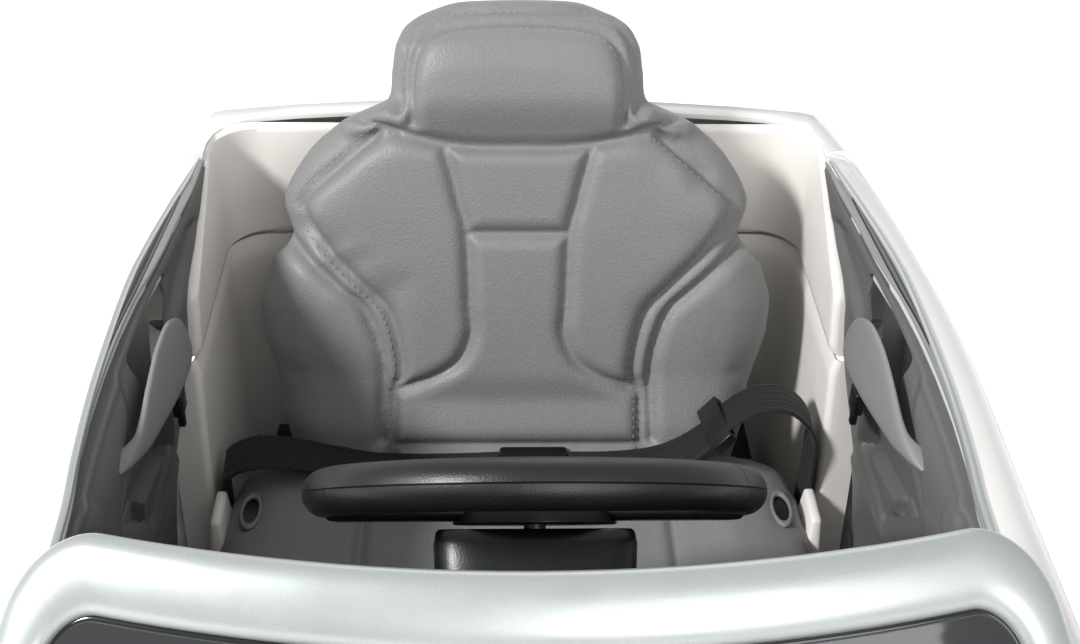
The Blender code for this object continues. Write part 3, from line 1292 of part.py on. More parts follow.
def base_height(x, y):
    """Top of the seat base at (x, y): bolsters at the sides, a dished middle, a rounded front."""
    side = smooth_step(abs(x), 0.115, 0.165)
    middle = -0.016 * (1 - side)
    front = -0.055 * (1 - math.sqrt(1 - (1 - min((y - BASE_FRONT_Y) / 0.055, 1.0)) ** 2))
    edge = -0.030 * (1 - math.sqrt(max(1 - (abs(x) / BASE_HALF) ** 9, 0.0)))
    rear = -0.012 * smooth_step(y, SEAT_Y - 0.030, SEAT_Y + 0.010)
    return BASE_TOP_Z + middle + front + edge + rear


def make_seat_base():
    """Seat base with bolsters, standing on the tub's ribs, with a belt slot in each bolster."""
    rings = []
    for row in range(BASE_ROWS + 1):
        y = BASE_FRONT_Y + (BASE_REAR_Y - BASE_FRONT_Y) * (row / BASE_ROWS) ** 1.25
        rear_narrow = 0.014 * smooth_step(y, SEAT_Y - 0.07, SEAT_Y + 0.01)
        front_narrow = 0.012 * smooth_step(0.08 - y, 0.0, 0.05)
        half = BASE_HALF - rear_narrow - front_narrow
        top = []
        for column in range(BASE_COLUMNS + 1):
            x = half * math.sin(math.pi / 2 * (2 * column / BASE_COLUMNS - 1))
            top.append((x, y, base_height(x * BASE_HALF / half, y)))
        low = PLATFORM_Z + SEAT_GAP
        bottom = [(half - 0.004, y, low), (-half + 0.004, y, low)]
        rings.append(top + bottom)
    seat = piece("seat_base", loft_mesh("seat_base", rings), "seat_leather")
    back_clear = []
    face = FOOT_OUT + SEAT_GAP
    for v in (BACK_FOOT - SEAT_GAP, 0.12):
        ring = []
        for u, out in ((-0.30, face), (0.30, face), (0.30, -0.20), (-0.30, -0.20)):
            ring.append(back_point(u, v, out))
        back_clear.append(ring)
    cut(seat, guide("back_clear", loft_mesh("back_clear", back_clear)))
    for side in (1, -1):
        name = "belt_slot_" + side_name(side)
        cut(seat, guide(name, box_mesh(name, (side * SLOT_X - 0.0045, SLOT_Y - 0.014, BASE_TOP_Z - 0.045),
                                       (side * SLOT_X + 0.0045, SLOT_Y + 0.014, BASE_TOP_Z + 0.02))))
    return smooth(seat, 50)


def ribbon_mesh(name, route, width, thickness):
    """Webbing: a flat strap along a route of (centre, width direction) pairs."""
    rings = []
    for index, (centre, across) in enumerate(route):
        here = Vector(centre)
        before = Vector(route[max(index - 1, 0)][0])
        after = Vector(route[min(index + 1, len(route) - 1)][0])
        along = (after - before).normalized()
        side = Vector(across)
        side = (side - along * side.dot(along)).normalized() * width / 2
        up = along.cross(side).normalized() * thickness / 2
        rings.append([here - side - up, here + side - up, here + side + up, here - side + up])
    return loft_mesh(name, rings)


STRAP_T = 0.0025
STRAP_W = 0.038
STRAP_EDGE_X = 0.2268      # where the straps go down beside the seat base
BUCKLE_LOW_X = -0.014
BUCKLE_HIGH_X = 0.040
BUCKLE_Y = 0.226
BUCKLE_Z = 0.2415
BUCKLE_T = 0.011
STRAP_LOW_Z = 0.170
SLIDER_AT = 5              # straight length of the left route that the slider sits on
SLIDER_HALF = 0.010
SLOT_CLEAR = 0.0008


def strap_route(points, side):
    """Route of a strap on one side, with its width along the car."""
    return [((side * x, y, z), (0, 1, tip)) for x, y, z, tip in points]


def make_belts():
    """Lap belt: a strap on each side, the slider on the left one and the buckle between them."""
    right = [(STRAP_EDGE_X, 0.226, STRAP_LOW_Z, 0), (STRAP_EDGE_X, 0.226, 0.236, 0),
             (0.2200, 0.227, 0.250, 0), (0.2020, 0.229, 0.257, 0),
             (0.1750, 0.230, 0.256, 0), (0.1400, 0.230, 0.248, 0),
             (0.1000, 0.229, 0.2415, 0), (0.0500, BUCKLE_Y, BUCKLE_Z, 0), (0.0300, BUCKLE_Y, BUCKLE_Z, 0),
             (-BUCKLE_LOW_X + SEAT_GAP, BUCKLE_Y, BUCKLE_Z, 0)]
    left = [(STRAP_EDGE_X, 0.226, STRAP_LOW_Z, 0), (STRAP_EDGE_X + 0.0010, 0.227, 0.250, 0),
            (0.2260, 0.230, 0.283, 0.1), (0.2080, 0.234, 0.303, 0.2),
            (0.1850, 0.236, 0.304, 0.2), (0.1640, 0.235, 0.291, 0.15),
            (0.1440, 0.232, 0.268, 0.05), (0.1220, 0.230, 0.251, 0), (0.1000, 0.229, 0.2425, 0),
            (0.0700, BUCKLE_Y, BUCKLE_Z, 0), (0.0550, BUCKLE_Y, BUCKLE_Z, 0),
            (BUCKLE_HIGH_X + SEAT_GAP, BUCKLE_Y, BUCKLE_Z, 0)]
    for name, points, side in (("belt_strap_right", right, -1), ("belt_strap_left", left, 1)):
        strap = ribbon_mesh(name, strap_route(points, side), STRAP_W, STRAP_T)
        smooth(piece(name, strap, "webbing"), 60)
    make_slider(left)
    half_w = STRAP_W / 2 + 0.004
    case = box_mesh("belt_buckle", (BUCKLE_LOW_X, BUCKLE_Y - half_w, BUCKLE_Z - BUCKLE_T / 2),
                    (BUCKLE_HIGH_X, BUCKLE_Y + half_w, BUCKLE_Z + BUCKLE_T / 2))
    buckle = piece("belt_buckle", case, "black_plastic")
    edge = buckle.modifiers.new("Bevel", "BEVEL")
    edge.width = 0.003
    edge.segments = 2


def make_slider(route):
    """Length slider: a plate with a slot for the webbing, square to the strap."""
    before, after = (Vector(route[SLIDER_AT + step][:3]) for step in (0, 1))
    here = (before + after) / 2
    along = (after - before).normalized()
    side = Vector((0, 1, route[SLIDER_AT][3]))
    side = (side - along * side.dot(along)).normalized()
    up = along.cross(side)
    turn = Matrix((along, side, up)).transposed().to_4x4()
    place = Matrix.Translation(here) @ turn
    half_w = STRAP_W / 2
    slider = piece("belt_slider", box_mesh("belt_slider", (-SLIDER_HALF, -half_w - 0.005, -0.0045),
                                           (SLIDER_HALF, half_w + 0.005, 0.0045)), "black_plastic")
    slot = guide("slider_slot", box_mesh("slider_slot", (-2 * SLIDER_HALF, -half_w - SLOT_CLEAR,
                                                         -STRAP_T / 2 - SLOT_CLEAR),
                                         (2 * SLIDER_HALF, half_w + SLOT_CLEAR, STRAP_T / 2 + SLOT_CLEAR)))
    slider.matrix_world = place
    slot.matrix_world = place
    cut(slider, slot)


def main():
    clear_scene()
    make_body()
    make_front_and_rear()
    make_chassis()
    make_pedal()
    make_steering_wheel()
    make_column()
    make_column_cover()
    make_dashboard()
    make_drive_lever()
    make_tie_rod()
    make_knuckles()
    make_axle_beam()
    make_road_wheels()
    make_rear_axle()
    make_battery()
    make_windscreen()
    for side in (1, -1):
        make_door(side)
    make_liners()
    make_seat_back()
    make_seat_base()
    make_belts()


main()
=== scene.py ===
"""Looks of the kids ride-on car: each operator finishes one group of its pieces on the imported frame."""

import json
import math

import bmesh
import bpy
from mathutils import Matrix, Vector
from mathutils.bvhtree import BVHTree
from mathutils.kdtree import KDTree

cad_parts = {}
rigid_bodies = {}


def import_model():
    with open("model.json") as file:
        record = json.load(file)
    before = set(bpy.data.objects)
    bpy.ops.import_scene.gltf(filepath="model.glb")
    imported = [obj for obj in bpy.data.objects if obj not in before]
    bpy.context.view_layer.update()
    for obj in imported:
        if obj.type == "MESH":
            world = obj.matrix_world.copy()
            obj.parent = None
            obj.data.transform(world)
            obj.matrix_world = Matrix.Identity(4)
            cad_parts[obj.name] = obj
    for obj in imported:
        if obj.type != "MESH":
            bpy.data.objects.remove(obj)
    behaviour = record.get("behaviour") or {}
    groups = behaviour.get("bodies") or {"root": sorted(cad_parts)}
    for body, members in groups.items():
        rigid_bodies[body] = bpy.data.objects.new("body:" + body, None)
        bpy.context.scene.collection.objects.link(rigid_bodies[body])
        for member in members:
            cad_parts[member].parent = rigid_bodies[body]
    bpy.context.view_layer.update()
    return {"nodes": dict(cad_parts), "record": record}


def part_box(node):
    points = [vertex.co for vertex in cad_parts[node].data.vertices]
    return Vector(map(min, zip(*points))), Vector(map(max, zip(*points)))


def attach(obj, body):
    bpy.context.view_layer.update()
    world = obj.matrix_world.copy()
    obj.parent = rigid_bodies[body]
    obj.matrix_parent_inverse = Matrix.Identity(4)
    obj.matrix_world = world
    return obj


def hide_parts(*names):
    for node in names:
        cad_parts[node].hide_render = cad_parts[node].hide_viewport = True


bl_info = {
    "name": "Kids ride-on car",
    "version": (1, 0, 0),
    "blender": (4, 5, 0),
    "location": "3D View > Sidebar > Ride-on car",
    "description": "Builds the looks of a kids ride-on car on its packed frame",
    "category": "Object",
}

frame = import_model()
MIRROR = Matrix.Diagonal((-1.0, 1.0, 1.0, 1.0))
SIDES = (("left", 1), ("right", -1))
JOIN_WITHIN = 0.00002


# Settings that a user would change

def colour(label, words, value):
    return bpy.props.FloatVectorProperty(name=label, description=words, default=value, size=3, min=0.0,
                                         max=1.0, subtype="COLOR")


def length(label, words, value):
    return bpy.props.FloatProperty(name=label, description=words, default=value, min=0.0, precision=4,
                                   subtype="DISTANCE", unit="LENGTH")


class RideOnColours(bpy.types.PropertyGroup):
    """Colours of the car's finishes."""
    body_white: colour("Body white", "Gloss white of the outer body", (0.74, 0.735, 0.72))
    liner_white: colour("Liner white", "White of the walls beside the seat", (0.82, 0.79, 0.75))
    panel_grey: colour("Panel grey", "Matt grey of the inner door panels", (0.112, 0.112, 0.112))
    bumper_grey: colour("Bumper grey", "Grey of the bumpers", (0.12, 0.12, 0.125))
    trim_black: colour("Trim black", "Black of the steering wheel and dashboard", (0.0055, 0.0057, 0.0061))
    silver: colour("Silver", "Silver paint of the windscreen frame", (0.44, 0.47, 0.47))
    leather: colour("Seat leather", "Grey of the seat's cover", (0.195, 0.198, 0.196))
    thread: colour("Thread", "Thread of the seat's seams", (0.26, 0.26, 0.26))
    webbing: colour("Webbing", "Black of the belt", (0.0022, 0.0022, 0.0024))
    steel: colour("Steel", "Bare steel of the running gear", (0.56, 0.56, 0.55))
    tyre: colour("Tyre", "Black of the tyres", (0.025, 0.025, 0.026))
    glass: colour("Glass", "Smoke of the windscreen", (0.020, 0.022, 0.024))
    red: colour("Red lens", "Red of the tail lamps", (0.45, 0.008, 0.010))


class RideOnSizes(bpy.types.PropertyGroup):
    """Sizes of the car's details."""
    seam_depth: length("Seam depth", "Depth of the seams sewn into the seat", 0.0045)
    seam_width: length("Seam width", "Half width of a seam's groove", 0.0040)
    stitch_pitch: length("Stitch pitch", "From one stitch to the next", 0.0060)
    edge_radius: length("Edge radius", "Radius of moulded edges", 0.0010)
    tread_depth: length("Tread depth", "Depth of the tyres' tread", 0.0030)


def colours():
    return bpy.context.scene.ride_on_colours


def sizes():
    return bpy.context.scene.ride_on_sizes


# Materials

class Finish:
    """One procedural material, built node by node round a Principled shader."""

    def __init__(self, name):
        self.material = bpy.data.materials.new(name)
        self.material.use_nodes = True
        self.nodes = self.material.node_tree.nodes
        self.links = self.material.node_tree.links
        self.shader = self.nodes["Principled BSDF"]
        self.source = self.nodes.new("ShaderNodeTexCoord").outputs["Object"]

    def node(self, kind, **inputs):
        made = self.nodes.new(kind)
        for key, value in inputs.items():
            spaced = key.replace("_", " ")
            socket = made.inputs[spaced if spaced in made.inputs else key]
            if isinstance(value, bpy.types.NodeSocket):
                self.links.new(value, socket)
            else:
                socket.default_value = value
        return made

    def stretched(self, scale):
        """Object coordinates, stretched."""
        made = self.nodes.new("ShaderNodeMapping")
        self.links.new(self.source, made.inputs["Vector"])
        made.inputs["Scale"].default_value = scale
        return made.outputs["Vector"]

    def noise(self, scale, detail=2.0, stretch=None, rough=0.5):
        vector = self.stretched(stretch) if stretch else self.source
        return self.node("ShaderNodeTexNoise", Vector=vector, Scale=scale, Detail=detail,
                         Roughness=rough).outputs["Fac"]

    def cells(self, scale, feature="F1", stretch=None):
        vector = self.stretched(stretch) if stretch else self.source
        made = self.node("ShaderNodeTexVoronoi", Vector=vector, Scale=scale)
        made.feature = feature
        return made.outputs["Distance"]

    def spread(self, value, low, high, to_low, to_high):
        made = self.node("ShaderNodeMapRange", Value=value)
        made.inputs["From Min"].default_value = low
        made.inputs["From Max"].default_value = high
        made.inputs["To Min"].default_value = to_low
        made.inputs["To Max"].default_value = to_high
        return made.outputs["Result"]

    def math(self, kind, one, two):
        made = self.nodes.new("ShaderNodeMath")
        made.operation = kind
        for socket, value in zip(made.inputs, (one, two)):
            if isinstance(value, bpy.types.NodeSocket):
                self.links.new(value, socket)
            else:
                socket.default_value = value
        return made.outputs[0]

    def blend(self, factor, one, two):
        """Colour between two colours."""
        made = self.nodes.new("ShaderNodeMix")
        made.data_type = "RGBA"
        self.links.new(factor, made.inputs["Factor"])
        for socket, value in ((made.inputs["A"], one), (made.inputs["B"], two)):
            if isinstance(value, bpy.types.NodeSocket):
                self.links.new(value, socket)
            else:
                socket.default_value = (*value, 1.0)
        return made.outputs["Result"]

    def set(self, **values):
        """Set or link the shader's own sockets."""
        for key, value in values.items():
            socket = self.shader.inputs[key.replace("_", " ")]
            if isinstance(value, bpy.types.NodeSocket):
                self.links.new(value, socket)
            elif socket.type == "RGBA":
                socket.default_value = (*value, 1.0)
            else:
                socket.default_value = value
        return self

    def relief(self, *layers):
        """Bump layers of (height, strength, distance), one on the other."""
        normal = None
        for height, strength, distance in layers:
            made = self.node("ShaderNodeBump", Height=height, Strength=strength, Distance=distance)
            if normal is not None:
                self.links.new(normal, made.inputs["Normal"])
            normal = made.outputs["Normal"]
        self.links.new(normal, self.shader.inputs["Normal"])
        return self


def darker(shade, share):
    return tuple(channel * share for channel in shade)


def moulded_plastic(name, shade, rough, grain, grain_scale, coat=0.0):
    """Moulded plastic: faint flow clouds, a grained or wavy skin and uneven gloss."""
    made = Finish(name)
    cloud = made.spread(made.noise(9.0, 3.0), 0.3, 0.7, 0.0, 1.0)
    made.set(Base_Color=made.blend(cloud, darker(shade, 0.955), shade))
    wear = made.noise(38.0, 4.0)
    made.set(Roughness=made.spread(wear, 0.25, 0.75, rough * 0.82, rough * 1.2), IOR=1.49)
    if coat:
        made.set(Coat_Weight=coat, Coat_Roughness=0.12)
    skin = made.cells(grain_scale, "SMOOTH_F1")
    made.relief((made.noise(26.0, 1.0), 0.12, 0.0012), (skin, grain, 0.0004))
    return made.material


def silver_paint():
    """Silver paint: fine flakes under a clear coat."""
    made = Finish("silver_paint_finish")
    shade = tuple(colours().silver)
    flake = made.node("ShaderNodeTexVoronoi", Vector=made.source, Scale=2600.0)
    tone = made.spread(flake.outputs["Color"], 0.0, 1.0, 0.0, 1.0)
    made.set(Base_Color=made.blend(tone, darker(shade, 0.86), shade), Metallic=0.55)
    made.set(Roughness=made.spread(made.noise(30.0, 3.0), 0.3, 0.7, 0.30, 0.40))
    made.set(Coat_Weight=0.4, Coat_Roughness=0.14)
    made.relief((made.noise(18.0, 1.0), 0.10, 0.0010), (tone, 0.03, 0.0002))
    return made.material


def mirror_glass():
    """Silvered mirror plastic, faintly wavy."""
    made = Finish("mirror_glass_finish")
    made.set(Base_Color=made.blend(made.noise(14.0, 2.0), (0.80, 0.82, 0.84), (0.86, 0.87, 0.88)),
             Metallic=1.0)
    made.set(Roughness=made.spread(made.noise(50.0, 3.0), 0.3, 0.7, 0.03, 0.08))
    made.relief((made.noise(9.0, 1.0), 0.05, 0.0015))
    return made.material


def leather():
    """Leatherette: pebbled grain, faint creases and darker hollows in the grain."""
    made = Finish("seat_leather_finish")
    shade = tuple(colours().leather)
    grain = made.cells(620.0, "SMOOTH_F1")
    pores = made.noise(1500.0, 2.0)
    wrinkle = made.noise(60.0, 4.0, (1.0, 1.0, 0.6))
    cloud = made.spread(made.noise(7.0, 3.0), 0.3, 0.7, 0.0, 1.0)
    base = made.blend(cloud, darker(shade, 0.93), shade)
    # Darker where the grain lies low, in its hollows
    grain_hollow_darkening = made.spread(grain, 0.2, 0.65, 1.0, 0.0)
    made.set(Base_Color=made.blend(made.math("MULTIPLY", grain_hollow_darkening, 0.30), base, darker(shade, 0.72)))
    made.set(Roughness=made.spread(made.noise(24.0, 3.0), 0.3, 0.7, 0.46, 0.60), IOR=1.46)
    made.set(Sheen_Weight=0.08, Sheen_Roughness=0.4)
    made.relief((wrinkle, 0.10, 0.0020), (grain, 0.55, 0.0005), (pores, 0.12, 0.0002))
    return made.material


def webbing():
    """Woven black webbing that follows the strap's own map: u across it, v along it, in metres."""
    made = Finish("webbing_finish")
    shade = tuple(colours().webbing)
    made.source = made.nodes["Texture Coordinate"].outputs["UV"]
    weft = made.node("ShaderNodeTexWave", Vector=made.stretched((0.25, 1.0, 1.0)), Scale=170.0,
                     Distortion=0.6)
    weft.bands_direction = "Y"
    warp = made.node("ShaderNodeTexWave", Vector=made.source, Scale=70.0, Distortion=0.3)
    warp.bands_direction = "X"
    thread = made.math("MULTIPLY", weft.outputs["Fac"], warp.outputs["Fac"])
    fuzz = made.noise(3000.0, 2.0)
    made.set(Base_Color=made.blend(thread, darker(shade, 0.5), tuple(c * 2.2 for c in shade)))
    made.set(Roughness=made.spread(fuzz, 0.2, 0.8, 0.62, 0.85), Sheen_Weight=0.06, Sheen_Roughness=0.5)
    made.relief((warp.outputs["Fac"], 0.5, 0.0006), (weft.outputs["Fac"], 0.6, 0.0004), (fuzz, 0.15, 0.0002))
    return made.material


def thread():
    """Twisted sewing thread."""
    made = Finish("thread_finish")
    shade = tuple(colours().thread)
    twist = made.noise(2200.0, 1.0)
    made.set(Base_Color=made.blend(twist, darker(shade, 0.7), shade), Roughness=0.7)
    made.relief((twist, 0.2, 0.0002))
    return made.material


def brushed_steel():
    """Zinc-plated steel with a drawn grain."""
    made = Finish("steel_finish")
    shade = tuple(colours().steel)
    drawn = made.noise(420.0, 4.0, (0.06, 1.0, 1.0))
    made.set(Base_Color=made.blend(made.noise(16.0, 4.0), darker(shade, 0.82), shade), Metallic=1.0)
    made.set(Roughness=made.spread(drawn, 0.25, 0.75, 0.26, 0.46))
    made.relief((drawn, 0.14, 0.0003))
    return made.material


def tyre_plastic():
    """Blown tyre plastic: matt, faintly rippled, dusty in its tread."""
    made = Finish("tyre_finish")
    shade = tuple(colours().tyre)
    dust = made.spread(made.noise(22.0, 5.0), 0.45, 0.75, 0.0, 0.45)
    made.set(Base_Color=made.blend(dust, shade, (0.075, 0.071, 0.066)))
    made.set(Roughness=made.spread(made.noise(60.0, 3.0), 0.3, 0.7, 0.55, 0.78))
    made.relief((made.noise(34.0, 2.0), 0.2, 0.0010), (made.cells(900.0), 0.25, 0.0003))
    return made.material


def smoke_glass():
    """Smoked windscreen plastic: nearly black, glossy, faintly wavy."""
    made = Finish("tinted_glass_finish")
    shade = tuple(colours().glass)
    made.set(Base_Color=made.blend(made.noise(12.0, 2.0), darker(shade, 0.8), shade), IOR=1.49)
    made.set(Roughness=made.spread(made.noise(45.0, 4.0), 0.3, 0.7, 0.045, 0.10), Coat_Weight=0.5,
             Coat_Roughness=0.04)
    made.relief((made.noise(8.0, 1.0), 0.06, 0.0020))
    return made.material


def clear_lens(name, shade, rough, see_through):
    """Lamp plastic with fine optic lines behind its face."""
    made = Finish(name)
    lines = made.node("ShaderNodeTexWave", Vector=made.source, Scale=60.0, Distortion=0.1)
    lines.bands_direction = "X"
    made.set(Base_Color=made.blend(lines.outputs["Fac"], darker(shade, 0.8), shade), IOR=1.49)
    made.set(Roughness=made.spread(made.noise(70.0, 3.0), 0.3, 0.7, rough * 0.7, rough * 1.4))
    made.set(Transmission_Weight=see_through, Coat_Weight=0.5, Coat_Roughness=0.03)
    made.relief((lines.outputs["Fac"], 0.25, 0.0005))
    return made.material


def floor_finish():
    """Plain pale studio floor."""
    made = Finish("floor_finish")
    made.set(Base_Color=made.blend(made.noise(2.0, 2.0), (0.90, 0.90, 0.90), (0.92, 0.92, 0.92)))
    made.set(Roughness=made.spread(made.noise(5.0, 2.0), 0.3, 0.7, 0.75, 0.85))
    made.set(Emission_Color=(1.0, 1.0, 1.0), Emission_Strength=0.30)
    return made.material


FINISHES = {}


def make_finishes():
    """All the finishes, by the name of the thing they stand for."""
    shade = colours()
    body = tuple(shade.body_white)
    liner = tuple(shade.liner_white)
    panel = tuple(shade.panel_grey)
    bumper = tuple(shade.bumper_grey)
    black = tuple(shade.trim_black)
    FINISHES.update({
        "white_plastic": moulded_plastic("white_plastic_finish", body, 0.24, 0.02, 300.0, 0.3),
        "liner_plastic": moulded_plastic("liner_plastic_finish", liner, 0.38, 0.06, 700.0),
        "grey_plastic": moulded_plastic("grey_plastic_finish", panel, 0.50, 0.25, 900.0),
        "bumper_plastic": moulded_plastic("bumper_plastic_finish", bumper, 0.45, 0.25, 900.0),
        "black_plastic": moulded_plastic("black_plastic_finish", black, 0.36, 0.16, 1000.0),
        "handle_grey": moulded_plastic("handle_grey_finish", tuple(min(c * 1.9, 1.0) for c in panel), 0.42,
                                       0.12, 900.0),
        "wheel_grip": moulded_plastic("wheel_grip_finish", darker(black, 1.25), 0.40, 0.25, 1300.0),
        "gloss_black": moulded_plastic("gloss_black_finish", black, 0.12, 0.02, 300.0, 0.5),
        "battery_case": moulded_plastic("battery_case_finish", (0.035, 0.036, 0.040), 0.42, 0.2, 800.0),
        "silver_paint": silver_paint(),
        "mirror_glass": mirror_glass(),
        "seat_leather": leather(),
        "webbing": webbing(),
        "thread": thread(),
        "steel": brushed_steel(),
        "tyre_rubber": tyre_plastic(),
        "tinted_glass": smoke_glass(),
        "lamp_lens": clear_lens("lamp_lens_finish", (0.85, 0.87, 0.90), 0.05, 0.85),
        "red_lens": clear_lens("red_lens_finish", tuple(shade.red), 0.07, 0.35),
    })


# Modelling by hand, in code

def deselect():
    if bpy.context.mode != "OBJECT":
        bpy.ops.object.mode_set(mode="OBJECT")
    bpy.ops.object.select_all(action="DESELECT")


def pick(obj):
    """Make one object the only selected and active one."""
    deselect()
    obj.select_set(True)
    bpy.context.view_layer.objects.active = obj
    return obj


def edit(obj, everything=False):
    """Enter edit mode on one object with nothing, or everything, selected."""
    pick(obj)
    bpy.ops.object.mode_set(mode="EDIT")
    bpy.ops.mesh.select_mode(type="FACE")
    bpy.ops.mesh.select_all(action="SELECT" if everything else "DESELECT")


def leave_edit():
    bpy.ops.object.mode_set(mode="OBJECT")


def settle(obj, name=None):
    """Put an object's place into its mesh, so that the object stands at the origin."""
    pick(obj)
    bpy.ops.object.transform_apply(location=True, rotation=True, scale=True)
    if name:
        obj.name = name
        obj.data.name = name
    return obj


def apply_modifier(obj, kind, **settings):
    """Add a modifier, set it and apply it."""
    pick(obj)
    made = obj.modifiers.new(kind.title(), kind)
    for key, value in settings.items():
        setattr(made, key, value)
    bpy.ops.object.modifier_apply(modifier=made.name)
    return obj


def rounded(obj, width, segments=2, degrees=30.0):
    """Round the edges that are sharper than an angle."""
    return apply_modifier(obj, "BEVEL", width=width, segments=segments, limit_method="ANGLE",
                          angle_limit=math.radians(degrees), use_clamp_overlap=True)


def finish_piece(obj, body, finish, nodes=(), degrees=35.0):
    """Shade a piece, give it its finish and let it ride on its body in place of CAD nodes."""
    pick(obj)
    if obj.type == "MESH":
        bpy.ops.object.shade_smooth_by_angle(angle=math.radians(degrees))
    obj.data.materials.clear()
    obj.data.materials.append(FINISHES[finish])
    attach(obj, body)
    if nodes:
        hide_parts(*nodes)
    return obj


def linked(name, mesh):
    """A new object in the scene, holding a mesh."""
    made = bpy.data.objects.new(name, mesh)
    bpy.context.scene.collection.objects.link(made)
    return made


def merged_copy(node, name):
    """A copy of a CAD node's mesh with its loose triangles joined."""
    made = linked(name, frame["nodes"][node].data.copy())
    edit(made, everything=True)
    bpy.ops.mesh.remove_doubles(threshold=JOIN_WITHIN)
    leave_edit()
    made.data.name = name
    return made


def turn_to(axis):
    """Turns +Z to an axis."""
    return Vector((0.0, 0.0, 1.0)).rotation_difference(Vector(axis).normalized()).to_matrix().to_4x4()


def placed(obj, matrix, name=None):
    """Bring a piece modelled round the origin to its place in the car."""
    obj.matrix_world = matrix
    return settle(obj, name)


def block(name, low, high, width=0.0, segments=3):
    """A box between two corners, its edges rounded."""
    low, high = Vector(low), Vector(high)
    deselect()
    bpy.ops.mesh.primitive_cube_add(size=1.0, location=(low + high) / 2)
    made = bpy.context.object
    made.scale = high - low
    settle(made, name)
    return rounded(made, width, segments) if width else made


def rod(name, start, end, radius, sides=32, width=0.0):
    """A round bar between two points, its ends rounded."""
    start, end = Vector(start), Vector(end)
    deselect()
    bpy.ops.mesh.primitive_cylinder_add(vertices=sides, radius=radius, depth=(end - start).length)
    made = placed(bpy.context.object, Matrix.Translation((start + end) / 2) @ turn_to(end - start), name)
    return rounded(made, width, 2, 50.0) if width else made


def choose(obj, kind, test):
    """Select the items of the mesh being edited that pass a test."""
    bpy.ops.mesh.select_mode(type=kind)
    bpy.ops.mesh.select_all(action="DESELECT")
    work = bmesh.from_edit_mesh(obj.data)
    work.verts.ensure_lookup_table()
    found = 0
    for item in {"VERT": work.verts, "EDGE": work.edges, "FACE": work.faces}[kind]:
        if test(item):
            item.select_set(True)
            found += 1
    work.select_flush_mode()
    bmesh.update_edit_mesh(obj.data)
    if not found:
        raise RuntimeError("nothing to shape on " + obj.name)
    return found


def scored(obj, test, width, depth):
    """Press a fine groove along the edges that pass a test."""
    edit(obj)
    choose(obj, "EDGE", test)
    bpy.ops.mesh.bevel(offset=width / 2, segments=2, profile=0.5)
    bpy.ops.mesh.select_less()
    middle = [vert.index for vert in bmesh.from_edit_mesh(obj.data).verts if vert.select]
    if not middle:
        raise RuntimeError("no groove on " + obj.name)
    bpy.ops.mesh.select_mode(type="VERT")
    bpy.ops.transform.shrink_fatten(value=-depth)
    leave_edit()
    return obj


def merged(name, *objs):
    """Join meshes into one piece."""
    deselect()
    for obj in objs:
        obj.select_set(True)
    bpy.context.view_layer.objects.active = objs[0]
    if len(objs) > 1:
        bpy.ops.object.join()
    made = bpy.context.view_layer.objects.active
    made.name = name
    made.data.name = name
    return made


def other_side(obj, name):
    """The same piece on the car's other side."""
    made = linked(name, obj.data.copy())
    made.data.transform(MIRROR)
    made.data.flip_normals()
    made.data.name = name
    return made


def middle_of(item):
    """Middle of an edge or a face of the mesh being edited."""
    total = Vector()
    for vert in item.verts:
        total += vert.co
    return total / len(item.verts)


def skinned(name, rings, closed=False):
    """A closed skin over equal rings of points."""
    work = bmesh.new()
    rows = [[work.verts.new(point) for point in ring] for ring in rings]
    count = len(rows[0])
    pairs = list(zip(rows, rows[1:]))
    if closed:
        pairs.append((rows[-1], rows[0]))
    for one, two in pairs:
        for index in range(count):
            after = (index + 1) % count
            work.faces.new((one[index], one[after], two[after], two[index]))
    if not closed:
        work.faces.new(rows[0])
        work.faces.new(rows[-1])
    bmesh.ops.recalc_face_normals(work, faces=work.faces)
    if work.calc_volume(signed=True) < 0:
        bmesh.ops.reverse_faces(work, faces=work.faces)
    mesh = bpy.data.meshes.new(name)
    work.to_mesh(mesh)
    work.free()
    return linked(name, mesh)


def squarish(value, power):
    """A sine or cosine pushed towards -1 and 1, for outlines between round and square."""
    return math.copysign(abs(value) ** power, value)


def facing(normal, across):
    """Turns +Z to a normal and +X to a level direction across it."""
    return Matrix((across, normal.cross(across).normalized(), normal)).transposed().to_4x4()


def smooth_step(value, low, high):
    """0 below low, 1 above high, smooth between."""
    share = min(max((value - low) / (high - low), 0.0), 1.0)
    return share * share * (3 - 2 * share)


def through(stations, at):
    """Read a smooth curve through (place, value) stations."""
    if at <= stations[0][0]:
        return stations[0][1]
    for index in range(len(stations) - 1):
        (y0, v0), (y1, v1) = stations[index], stations[index + 1]
        if at > y1:
            continue
        before = stations[max(index - 1, 0)]
        after = stations[min(index + 2, len(stations) - 1)]
        run = y1 - y0
        slope0 = (v1 - before[1]) / (y1 - before[0]) * run
        slope1 = (after[1] - v0) / (after[0] - y0) * run
        t = (at - y0) / run
        return ((2 * t ** 3 - 3 * t ** 2 + 1) * v0 + (t ** 3 - 2 * t ** 2 + t) * slope0
                + (-2 * t ** 3 + 3 * t ** 2) * v1 + (t ** 3 - t ** 2) * slope1)
    return stations[-1][1]


# The stage

CAMERA_PLACE = Vector((-0.022, -0.621, 1.0))
CAMERA_DOWN = math.radians(36.0)
CAMERA_TURN = math.radians(2.5)
CAMERA_ROLL = math.radians(1.45)
SENSOR = 36.0
FOCAL_PIXELS = 1450.0
PHOTO_WIDTH = 1080.0


